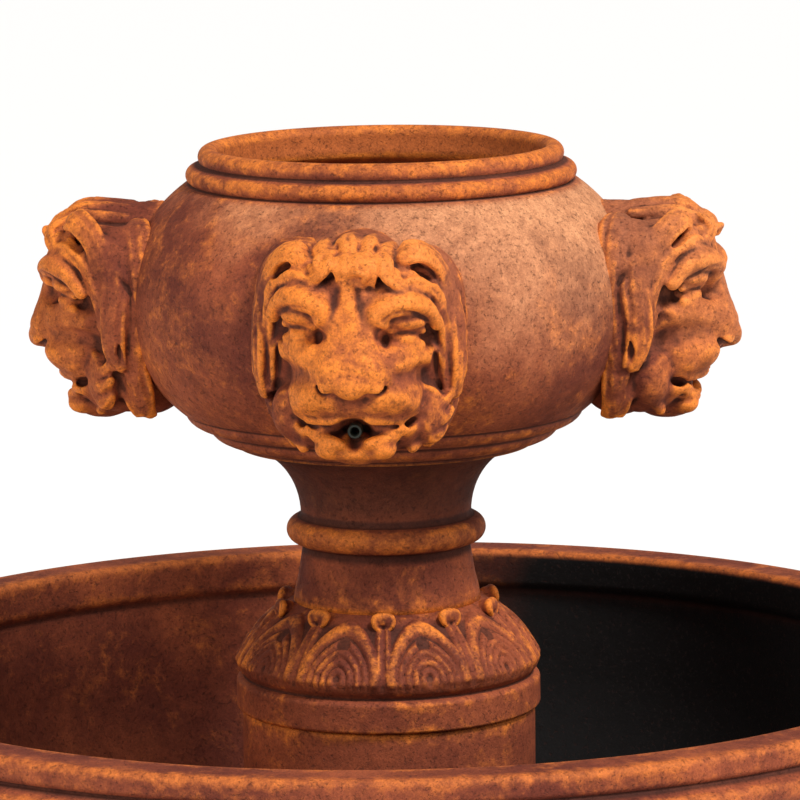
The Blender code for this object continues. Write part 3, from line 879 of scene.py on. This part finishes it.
def eased(values, low, high):
    share = np.clip((values - low) / (high - low), 0.0, 1.0)
    return share * share * (3.0 - 2.0 * share)


def pointed_ring(u, rise, ogive, stretch):
    """How wide the pointed arch through each point is at its foot; below the foot it closes to a ring."""
    pointed = ogive * u + np.sqrt((ogive * u) ** 2 + (1 + 2 * ogive) * (u ** 2 + (stretch * rise) ** 2))
    return np.where(rise > 0, pointed / (1 + 2 * ogive), np.sqrt(u ** 2 + (0.45 * rise) ** 2))


def leaf_relief(across, height):
    """Nested pointed arches round an eye, under a rounder one, and a split tongue between each two."""
    u = np.abs(across)
    rise = height - EYE_HEIGHT
    ring = pointed_ring(u, rise, OGIVE, OGIVE_RISE)
    relief = 0.0
    for place, half_width, proud in LEAF_RINGS:
        relief = np.maximum(relief, bulge(ring - place, half_width, proud))
    arch = pointed_ring(u, rise, ARCH_OGIVE, ARCH_RISE)
    relief = relief * (1.0 - eased(arch, ARCH[0] - 7.0, ARCH[0] - 3.0))
    relief = np.maximum(relief, bulge(arch - ARCH[0], ARCH[1], ARCH[2]))
    wide, tall, deep = LEAF_HOLLOW_SIZE
    above = rise - LEAF_HOLLOW_RISE
    hollow = np.clip(1.0 - (above / tall) ** 2 - (u / (wide - above * 0.5)) ** 2, 0.0, 1.0)
    relief = relief * (1.0 - eased(hollow, 0.0, 0.4)) - deep * eased(hollow, 0.0, 0.6)
    gap = LEAF_SPAN * HALF_PALMETTE - u
    tongue = bulge(gap, *TONGUE) - bulge(gap, *TONGUE_SPLIT)
    return np.maximum(relief, tongue * eased(height, TONGUE_FOOT, TONGUE_FOOT + 8.0))


def scroll_tip():
    """The curled tip of a tongue, rolled outwards over the top of the foot."""
    clay = Clay((-16.0, 88.0, 430.0), (16.0, 124.0, 476.0), 1.3)
    clay.lumps(1, ((0, 102, 443), (8.5, 8, 13), 2.0), ((0, 107, 449), (9.5, 8, 6.5), 3.0))
    lip = [(-4, 113, 440), (-8.5, 112, 446), (-7, 110, 453), (7, 110, 453), (8.5, 112, 446), (4, 113, 440)]
    clay.add(roll(lip, 1.8 + 2.4 * np.sin(np.linspace(0.0, math.pi, 17)), steps=17), 4.0)
    for place in (-3, 3):
        clay.add(strand([(place, 112, 440), (place, 108, 449)], [2.4, 2.0]), 2.0)
    verts, quads = clay.skin()
    side, reach = verts[:, 0], verts[:, 1]
    x = side * math.cos(HALF_PALMETTE) + reach * math.sin(HALF_PALMETTE)
    y = side * math.sin(HALF_PALMETTE) - reach * math.cos(HALF_PALMETTE)
    proud = clay.sample(clay.blurred(2.0), verts) / 2.0
    return np.stack([x, y, verts[:, 2]], axis=1) * MM, quads[:, ::-1], proud


def foot_sector():
    """One sector of the foot, carved, from the axis over the stem's seat to the slab's underside."""
    seat = [(0.0, 456.0), (84.0, 456.0), (92.0, 453.0)]
    side = [(foot_radius(z), z) for z in np.linspace(FOOT_TOP[1], FOOT_EDGE[1], 56)]
    side += [(FOOT_EDGE[0], z) for z in np.linspace(FOOT_EDGE[1], FOOT_BOTTOM + 4.0, 6)[1:]]
    below = [(150.0, 383.6), (147.0, 380.6), (145.5, 378.5)]
    below += rounded([(145.5, 377.0), (SLAB_RADIUS - 4.0, SLAB_TOP + 0.4), (SLAB_RADIUS, SLAB_TOP - 3.0),
                      (SLAB_RADIUS, SLAB_BOTTOM + 2.0), (SLAB_RADIUS - 2.0, SLAB_BOTTOM)], 3.0)
    outline = np.array(seat + side + refined(below, 4.0) + [(0.0, SLAB_BOTTOM)])
    along = np.gradient(outline, axis=0)
    along /= np.hypot(*along.T)[:, None]
    outward = np.stack([-along[:, 1], along[:, 0]], axis=1)
    angles = np.linspace(-HALF_PALMETTE, HALF_PALMETTE, 65)
    height, across = np.meshgrid(outline[:, 1], angles * LEAF_SPAN, indexing="ij")
    carved = np.zeros(len(outline))
    carved[len(seat):len(seat) + len(side)] = 1.0
    relief = leaf_relief(across, height) * (carved * eased(outline[:, 1], *CARVED_ABOVE))[:, None]
    radius = outline[:, :1] + outward[:, :1] * relief
    level = outline[:, 1:] + outward[:, 1:] * relief
    verts = np.stack([radius * np.sin(angles), -radius * np.cos(angles), level], axis=-1).reshape(-1, 3) * MM
    count = len(angles)
    row, column = np.meshgrid(np.arange(len(outline) - 1), np.arange(count - 1), indexing="ij")
    first = (row * count + column).ravel()
    quads = np.stack([first, first + count, first + count + 1, first + 1], axis=1)
    tip_verts, tip_quads, tip_proud = scroll_tip()
    mesh = bpy.data.meshes.new("foot_sector")
    quads = quads.tolist() + (tip_quads + len(verts)).tolist()
    mesh.from_pydata(verts.tolist() + tip_verts.tolist(), [], quads)
    low = (relief - LOW_RELIEF) * (carved * (1.0 - eased(outline[:, 1], *LOW_TO)))[:, None]
    raised = outline_marks(outline, RAISED_REACH)[:, None] * 0.5 + low / 12.0
    broad = outline_marks(outline, BROAD_REACH)[:, None] * 0.5 + low / 45.0
    set_marks(mesh, raised=np.append(raised, tip_proud), broad=np.append(broad, tip_proud))
    return mesh


# Shader maths

class Amount:
    """A number on a socket; arithmetic on it adds Math nodes."""

    def __init__(self, paint, socket):
        self.paint = paint
        self.socket = socket

    def maths(self, operation, *values, clamp=False):
        node = self.paint.node("ShaderNodeMath", {"operation": operation, "use_clamp": clamp}, *values)
        return Amount(self.paint, node.outputs[0])

    def __add__(self, other):
        return self.maths("ADD", self, other)

    def __sub__(self, other):
        return self.maths("SUBTRACT", self, other)

    def __mul__(self, other):
        return self.maths("MULTIPLY", self, other)

    def __rsub__(self, other):
        return self.maths("SUBTRACT", other, self)

    __radd__ = __add__
    __rmul__ = __mul__

    def clamped(self):
        return self.maths("ADD", self, 0.0, clamp=True)

    def between(self, low, high):
        """0 below a value, 1 above another, eased between them."""
        node = self.paint.node("ShaderNodeMapRange", {"interpolation_type": "SMOOTHSTEP"},
                               self, low, high, 0.0, 1.0)
        return Amount(self.paint, node.outputs["Result"])


class Paint(NodeMaker):
    """A material's node tree, built node by node."""

    def __init__(self, name, rough=0.7):
        self.material = bpy.data.materials.new(name)
        self.material.use_nodes = True
        self.tree = self.material.node_tree
        self.surface = self.tree.nodes["Principled BSDF"]
        self.surface.inputs["Roughness"].default_value = rough
        self.surface.inputs["Specular IOR Level"].default_value = 0.22
        self.place = self.node("ShaderNodeTexCoord").outputs["Object"]

    def noise(self, scale, detail, roughness, distortion=0.0):
        node = self.node("ShaderNodeTexNoise", {}, Vector=self.place, Scale=scale, Detail=detail,
                         Roughness=roughness, Distortion=distortion)
        return Amount(self, node.outputs["Fac"])

    def mark(self, name):
        node = self.node("ShaderNodeAttribute", {"attribute_name": name})
        return Amount(self, node.outputs["Fac"])

    def mix(self, share, below, above, blend="MIX"):
        """Two colours mixed; each is a colour or another mix."""
        node = self.node("ShaderNodeMix", {"data_type": "RGBA", "blend_type": blend, "clamp_factor": True})
        self.link(share, node.inputs["Factor"])
        for value, label in ((below, "A"), (above, "B")):
            socket = next(s for s in node.inputs if s.name == label and s.type == "RGBA")
            self.link(value if isinstance(value, bpy.types.NodeSocket) else (*value, 1.0), socket)
        return next(s for s in node.outputs if s.type == "RGBA")

    def finish(self, colour, rough, bump, depth):
        self.link(colour, self.surface.inputs["Base Color"])
        self.link(rough, self.surface.inputs["Roughness"])
        node = self.node("ShaderNodeBump", {}, Height=bump, Strength=1.0, Distance=depth)
        self.link(node.outputs[0], self.surface.inputs["Normal"])
        return self.material


# Stone: each pattern's scale, detail, roughness and distortion, and places in metres

CLOUD = (6.0, 5.0, 0.6, 0.4)
PATCH = (17.0, 6.0, 0.7, 0.5)
MOTTLE = (70.0, 4.0, 0.7)
GRAIN = (420.0, 3.0, 0.75)
PITS = (230.0, 4.0, 0.75)
PIT_LEVELS = (0.34, 0.44)
PIT_DEPTH = 0.001
SHADES = ((0.66, 0.64, 0.64), (1.28, 1.3, 1.3))
MOUTH_RADIUS = 0.166
MOUTH_STAIN = (0.80, 0.86)
# Heights where the painted highlight on the bowl stops, at its top
SHEEN_BELOW = (0.868, 0.876)
NECK_SHADE = (0.550, 0.612)
# Painted shadow inside the basin: how far below the rim it ends, and where it ends towards the right
SHADOW_BELOW_RIM = (0.009, 0.003)
SHADOW_TO = (0.48, 0.54)


class Stone(Paint):
    """Iron-stained cast stone, whose colour is laid on coat over coat."""

    def __init__(self, name, settings, dark):
        super().__init__(name)
        self.settings = settings
        self.raised, self.broad, self.forward = (self.mark(label) for label in ("raised", "broad", "forward"))
        patterns = (self.noise(*sizes) for sizes in (CLOUD, PATCH, MOTTLE, GRAIN, PITS))
        self.cloud, self.patch, self.mottle, self.grain, self.pits = patterns
        place = self.node("ShaderNodeSeparateXYZ", {}, self.place).outputs
        self.across, self.reach, self.height = (Amount(self, place[axis]) for axis in "XYZ")
        rust = self.cloud.between(0.34 + dark, 0.64 + dark)
        self.colour = self.mix(rust, settings.dark_stone, settings.rust_stone)

    def coat(self, share, tone):
        self.colour = self.mix(share, self.colour, tone)

    def stain(self, more, mouth):
        """Orange iron stain in patches, and where it is asked for, in the urn's mouth."""
        if mouth:
            far = self.across * self.across + self.reach * self.reach
            inside = 1.0 - far.between((MOUTH_RADIUS - 0.004) ** 2, (MOUTH_RADIUS + 0.004) ** 2)
            more = inside * self.height.between(*MOUTH_STAIN) * 0.3 + more
        stained = self.patch * 0.7 + self.mottle * 0.4 + self.broad * 1.0 + self.forward * 0.28 + more
        self.coat(stained.between(0.55, 0.85), self.settings.orange_stone)

    def rub(self, strength, facing):
        """Bright orange where the stone stands proud, as wear; facing keeps it to broad forms near the front,
        and the side heads get less of it as painted shade.
        """
        wear_and_shade = self.raised * 2.0 + self.broad * 1.4 + self.forward * 0.75
        wear_and_shade = wear_and_shade + (self.mottle - 0.5) * 1.8 + (self.patch - 0.5) * 1.5 - facing
        if facing:
            # Painted shade: less orange on the side heads, away from the front
            wear_and_shade = wear_and_shade + self.broad * 1.2 - (self.across * self.across).between(0.04, 0.09) * 0.35
        self.coat((wear_and_shade.between(0.15, 1.0) * strength).clamped(), self.settings.rubbed_stone)
        return wear_and_shade

    def fade(self, strength):
        """Painted highlight: tan towards the bowl's upper right, where the light falls brightest."""
        sheen = (self.across * 1.6 + self.height * 4.0 + (self.cloud - 0.5) * 1.2).between(3.0, 3.8)
        sheen = sheen * strength * (1.0 - self.height.between(*SHEEN_BELOW))
        self.coat((sheen * (self.mottle + 0.5)).clamped(), self.settings.sheen_stone)

    def paint_right_shadow(self):
        """Painted shadow: near black on the right of the basin's inside, up to its rim."""
        shadow = (self.across * 2.6 - self.height * 0.6 + (self.cloud - 0.5) * 0.5).between(-0.3, 0.25)
        low, high = (BASIN_HEIGHT * MM - below for below in SHADOW_BELOW_RIM)
        shadow = shadow * self.mark("inner") * (1.0 - self.height.between(low, high))
        self.coat(shadow * (1.0 - self.across.between(*SHADOW_TO)), self.settings.shadow_stone)

    def shade(self, low, high):
        """Dark between two heights, where the neck lies under the bowl."""
        above = self.height.between(low - 0.02, low + 0.01)
        under = 1.0 - self.height.between(high - 0.01, high + 0.015)
        self.coat(above * under * (self.patch * 0.5 + 0.45), self.settings.hollow_and_shade_stone)

    def age_and_shade(self, wear_and_shade):
        """Dark in the hollows, partly the stone's own and partly painted shade; dark in the pits, a fine
        grain over all, and the bump of both.
        """
        # Darker in hollows and recesses: partly the stone's own dark, partly painted shade
        hollow = self.raised * -4.5 + self.broad * -2.2 - self.forward * 0.1 + (self.patch - 0.5) * 0.6
        self.coat(hollow.between(0.08, 0.9) * 0.8, self.settings.hollow_and_shade_stone)
        pitted = self.pits.between(*PIT_LEVELS)
        self.coat((1.0 - pitted) * 0.45, self.settings.hollow_and_shade_stone)
        shade = self.mix((self.grain * 0.6 + self.mottle * 0.4).between(0.3, 0.7), *SHADES)
        colour = self.mix(1.0, self.colour, shade, "MULTIPLY")
        rough = 0.74 - wear_and_shade * 0.1 + (self.grain - 0.5) * 0.3
        bump = pitted * 0.4 + self.mottle * 0.9 + self.grain * 0.6
        return self.finish(colour, rough, bump, PIT_DEPTH)


def stone_paint(name, settings, rub=1.0, stain=0.0, dark=0.0, sheen_strength=0.0, facing=0.0,
                shadowed=False, mouth=False, shaded=False):
    """The stone of one piece, with the weathering that it has in the photo, and with painted shade and
    painted highlight laid over it.
    """
    stone = Stone(name, settings, dark)
    stone.stain(stain, mouth)
    wear_and_shade = stone.rub(rub, facing)
    # Painted highlight towards the upper right
    if sheen_strength:
        stone.fade(sheen_strength)
    # Painted shadow on the right of the basin's inside
    if shadowed:
        stone.paint_right_shadow()
    if shaded:
        stone.shade(*NECK_SHADE)
    return stone.age_and_shade(wear_and_shade)


# Settings

def colour_setting(name, description, value):
    return FloatVectorProperty(name=name, description=description, default=value, size=3,
                               min=0.0, max=1.0, subtype="COLOR")


class FountainSettings(bpy.types.PropertyGroup):
    """What a user would change about the fountain's finish."""

    segments: IntProperty(
        name="Segments", description="Steps round the turned work", default=180, min=20)
    carving_pitch: FloatProperty(
        name="Carving pitch", description="Fineness of the lion heads' carving", default=1.6 * MM,
        min=1.0 * MM, subtype="DISTANCE", unit="LENGTH")
    head_faces: IntProperty(
        name="Head faces", description="Most triangles in one lion head", default=160000, min=10000)
    dark_stone: colour_setting("Dark stone", "Maroon brown of the plain stone", (0.15, 0.030, 0.015))
    rust_stone: colour_setting("Rust", "Rust brown over the plain stone", (0.34, 0.080, 0.030))
    orange_stone: colour_setting("Orange stain", "Iron stain in patches", (0.46, 0.115, 0.026))
    rubbed_stone: colour_setting("Rubbed", "Bright orange where the stone stands proud", (0.76, 0.21, 0.028))
    # Painted highlight: the tan laid on the upper right of the bowl and the heads
    sheen_stone: colour_setting("Sheen", "Tan where the stone has faded", (0.62, 0.27, 0.125))
    # Dark of the hollows and the pits, also laid on as painted shade in the hollows and on the neck under the
    # bowl
    hollow_and_shade_stone: colour_setting("Hollows", "Dark of the hollows", (0.040, 0.013, 0.009))
    # Painted shadow: the near black laid on the right of the basin's inside
    shadow_stone: colour_setting("Shadow", "Near black of the damp side inside the basin", (0.004, 0.003, 0.003))
    # Grey-green of the tubes, darkened as painted shade for their place deep in the mouths
    tube_grey_and_shade: colour_setting("Tube", "Grey of the water tubes", (0.030, 0.034, 0.026))
    floor_tone: colour_setting("Floor", "Pale floor", (0.92, 0.92, 0.92))
    key_strength: FloatProperty(name="Key light", description="Strength of the main light",
                                default=3.2, min=0.0)
    fill_power: FloatProperty(name="Fill light", description="Power of the fill light", default=56.0,
                              min=0.0, subtype="POWER", unit="POWER")
    side_power: FloatProperty(name="Side light", description="Power of the light at the right", default=24.0,
                              min=0.0, subtype="POWER", unit="POWER")


# Camera and stage

CAMERA_PLACE = (0.0156, -5.5, 1.528)
CAMERA_PITCH = 9.04
CAMERA_ROLL = -0.8
CAMERA_LENS = 250.6
CAMERA_SENSOR = 36.0
CAMERA_SIGHT = 200.0
FLOOR_SIZE = 60.0
KEY_RISE = 54.0
KEY_TURN = 45.0
KEY_SOFTNESS = 14.0
KEY_TINT = (1.0, 0.985, 0.965)
LAMP_TARGET = (0.0, 0.0, 0.6)
FILL_PLACE = (-2.6, -3.2, 1.9)
FILL_SIZE = 1.8
FILL_TINT = (1.0, 0.97, 0.93)
SIDE_PLACE = (3.4, -0.9, 1.5)
SIDE_SIZE = 1.6
SIDE_TINT = (1.0, 0.98, 0.98)
SKY_TINT = (1.0, 0.995, 0.99, 1.0)
SKY_STRENGTH = 0.3


def add_camera():
    camera = add_object("camera", bpy.data.cameras.new("camera"))
    camera.data.lens = CAMERA_LENS
    camera.data.sensor_width = CAMERA_SENSOR
    camera.data.clip_end = CAMERA_SIGHT
    tilt = Matrix.Rotation(math.radians(90.0 - CAMERA_PITCH), 4, "X")
    bank = Matrix.Rotation(math.radians(CAMERA_ROLL), 4, "Z")
    camera.matrix_world = Matrix.Translation(CAMERA_PLACE) @ (tilt @ bank)
    bpy.context.scene.camera = camera


def add_key(strength):
    """A soft sun from the upper right, in front."""
    light = bpy.data.lights.new("key", "SUN")
    light.energy = strength
    light.angle = math.radians(KEY_SOFTNESS)
    light.color = KEY_TINT
    add_object("key", light).rotation_euler = (math.radians(90.0 - KEY_RISE), 0.0, math.radians(KEY_TURN))


def add_lamp(name, place, size, power, tint):
    """A square area light at a place, turned to the fountain."""
    light = bpy.data.lights.new(name, "AREA")
    light.shape = "SQUARE"
    light.size = size
    light.energy = power
    light.color = tint
    lamp = add_object(name, light)
    lamp.location = place
    lamp.rotation_euler = (Vector(place) - Vector(LAMP_TARGET)).to_track_quat("Z", "Y").to_euler()


def add_floor(tone):
    half = FLOOR_SIZE / 2.0
    mesh = bpy.data.meshes.new("floor")
    corners = [(-half, -half, 0.0), (half, -half, 0.0), (half, half, 0.0), (-half, half, 0.0)]
    mesh.from_pydata(corners, [], [(0, 1, 2, 3)])
    paint = Paint("floor", 0.9)
    paint.link((*tone, 1.0), paint.surface.inputs["Base Color"])
    mesh.materials.append(paint.material)
    floor = add_object("floor", mesh)


def add_sky():
    world = bpy.data.worlds.new("studio")
    world.use_nodes = True
    sky = world.node_tree.nodes["Background"]
    sky.inputs["Color"].default_value = SKY_TINT
    sky.inputs["Strength"].default_value = SKY_STRENGTH
    bpy.context.scene.world = world
    bpy.context.scene.view_settings.view_transform = "Standard"


# Operators

def dress(piece, node):
    """Hang a piece on the one body, in its CAD node's place, and hide the node."""
    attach(piece, "root")
    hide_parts(node)


def head_turn(number):
    """The turn of one of the four heads round the axis."""
    return Matrix.Rotation(math.radians(HEAD_TURN + 90.0 * number), 4, "Z")


class FOUNTAIN_OT_stage(bpy.types.Operator):
    """Add the floor, the studio lights and the camera"""
    bl_idname = "fountain.stage"
    bl_label = "Stage"

    def execute(self, context):
        settings = context.scene.fountain
        add_camera()
        add_sky()
        add_floor(settings.floor_tone)
        add_key(settings.key_strength)
        add_lamp("fill", FILL_PLACE, FILL_SIZE, settings.fill_power, FILL_TINT)
        add_lamp("side", SIDE_PLACE, SIDE_SIZE, settings.side_power, SIDE_TINT)
        return {"FINISHED"}


class FOUNTAIN_OT_basin(bpy.types.Operator):
    """Add the round basin"""
    bl_idname = "fountain.basin"
    bl_label = "Basin"

    def execute(self, context):
        settings = context.scene.fountain
        # The basin's stone, with painted shadow on the right of its inside
        stone = stone_paint("basin stone", settings, rub=0.25, dark=0.05, shadowed=True)
        piece = turned_piece("stone_basin", refined(basin_outline(), BASIN_STRETCH), settings.segments, stone)
        dress(piece, "basin")
        return {"FINISHED"}


class FOUNTAIN_OT_drum(bpy.types.Operator):
    """Add the plain drum under the urn"""
    bl_idname = "fountain.drum"
    bl_label = "Drum"

    def execute(self, context):
        settings = context.scene.fountain
        stone = stone_paint("drum stone", settings, rub=0.9)
        piece = turned_piece("stone_drum", refined(drum_outline(), STRETCH), settings.segments, stone)
        dress(piece, "riser_drum")
        return {"FINISHED"}


class FOUNTAIN_OT_urn(bpy.types.Operator):
    """Add the urn's bowl, mouldings, neck, collar and stem"""
    bl_idname = "fountain.urn"
    bl_label = "Urn"

    def execute(self, context):
        settings = context.scene.fountain
        # The urn's stone, with a painted highlight on the bowl's upper right and painted shade on the neck
        stone = stone_paint("urn stone", settings, rub=0.85, stain=0.04, sheen_strength=0.95, mouth=True, shaded=True)
        piece = turned_piece("urn_bowl", refined(urn_outline(), STRETCH), settings.segments, stone)
        dress(piece, "lion_urn")
        return {"FINISHED"}


class FOUNTAIN_OT_leaf_foot(bpy.types.Operator):
    """Add the leaf-carved foot and its slab"""
    bl_idname = "fountain.leaf_foot"
    bl_label = "Leaf foot"

    def execute(self, context):
        stone = stone_paint("foot stone", context.scene.fountain)
        piece = add_object("leaf_foot", foot_sector())
        first = math.radians(FIRST_PALMETTE)
        ring_tree().run(piece, Copies=PALMETTES, First_turn=first, Weld=WELD, Stone=stone)
        dress(piece, "lion_urn")
        return {"FINISHED"}


class FOUNTAIN_OT_lion_heads(bpy.types.Operator):
    """Add the four lion heads round the bowl"""
    bl_idname = "fountain.lion_heads"
    bl_label = "Lion heads"

    def execute(self, context):
        settings = context.scene.fountain
        # The heads' stone, with a painted highlight on the upper right and painted shade on the side heads
        stone = stone_paint("lion stone", settings, stain=-0.04, sheen_strength=0.2, facing=0.32)
        first = head_mesh(settings.carving_pitch / MM, settings.head_faces)
        first.materials.append(stone)
        for number, name in enumerate(HEADS):
            mesh = first.copy()
            mesh.transform(head_turn(number))
            dress(add_object(f"lion_head_{name}", mesh), "lion_urn")
        return {"FINISHED"}


class FOUNTAIN_OT_spout_tubes(bpy.types.Operator):
    """Add the water tube in each mouth"""
    bl_idname = "fountain.spout_tubes"
    bl_label = "Spout tubes"

    def execute(self, context):
        paint = Paint("tubing", 0.45)
        paint.link((*context.scene.fountain.tube_grey_and_shade, 1.0), paint.surface.inputs["Base Color"])
        for number, name in enumerate(HEADS):
            mesh = tube_mesh()
            lay = Matrix.Translation((0, 0, SPOUT_HEIGHT * MM)) @ Matrix.Rotation(math.radians(90.0), 4, "X")
            mesh.transform(head_turn(number) @ lay)
            mesh.materials.append(paint.material)
            dress(add_object(f"water_tube_{name}", mesh), f"spout_tube_{name}")
        return {"FINISHED"}


def tube_mesh():
    """A tube on the Z axis, with its front end's edges taken off."""
    wall = [(TUBE_BORE, TUBE_START + 1.0), (TUBE_BORE, TUBE_END - 1.2), (TUBE_BORE + 0.8, TUBE_END),
            (TUBE_RADIUS - 0.8, TUBE_END), (TUBE_RADIUS, TUBE_END - 1.2), (TUBE_RADIUS, TUBE_START)]
    angles = np.linspace(0.0, 2.0 * math.pi, TUBE_SIDES, endpoint=False)
    verts = [(r * math.cos(a) * MM, r * math.sin(a) * MM, z * MM) for a in angles for r, z in wall]
    count = len(wall)
    quads = []
    for side in range(TUBE_SIDES):
        for step in range(count):
            here, there = side * count, (side + 1) % TUBE_SIDES * count
            after = (step + 1) % count
            quads.append((here + step, here + after, there + after, there + step))
    mesh = bpy.data.meshes.new("tube")
    mesh.from_pydata(verts, [], quads)
    mesh.shade_smooth()
    mesh.set_sharp_from_angle(angle=math.radians(50.0))
    return mesh


class FOUNTAIN_PT_panel(bpy.types.Panel):
    """The fountain's pieces and finish"""
    bl_label = "Lion urn fountain"
    bl_idname = "FOUNTAIN_PT_panel"
    bl_space_type = "VIEW_3D"
    bl_region_type = "UI"
    bl_category = "Fountain"

    def draw(self, context):
        for operator in OPERATORS:
            self.layout.operator(operator.bl_idname)
        for name in FountainSettings.__annotations__:
            self.layout.prop(context.scene.fountain, name)


OPERATORS = (FOUNTAIN_OT_stage, FOUNTAIN_OT_basin, FOUNTAIN_OT_drum, FOUNTAIN_OT_urn,
             FOUNTAIN_OT_leaf_foot, FOUNTAIN_OT_lion_heads, FOUNTAIN_OT_spout_tubes)
CLASSES = (FountainSettings, *OPERATORS, FOUNTAIN_PT_panel)


def register():
    for item in CLASSES:
        bpy.utils.register_class(item)
    bpy.types.Scene.fountain = PointerProperty(type=FountainSettings)


def unregister():
    del bpy.types.Scene.fountain
    for item in reversed(CLASSES):
        bpy.utils.unregister_class(item)


def main():
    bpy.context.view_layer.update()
    register()
    bpy.ops.fountain.stage()
    bpy.ops.fountain.basin()
    bpy.ops.fountain.drum()
    bpy.ops.fountain.urn()
    bpy.ops.fountain.leaf_foot()
    bpy.ops.fountain.lion_heads()
    bpy.ops.fountain.spout_tubes()


if __name__ == "__main__":
    main()
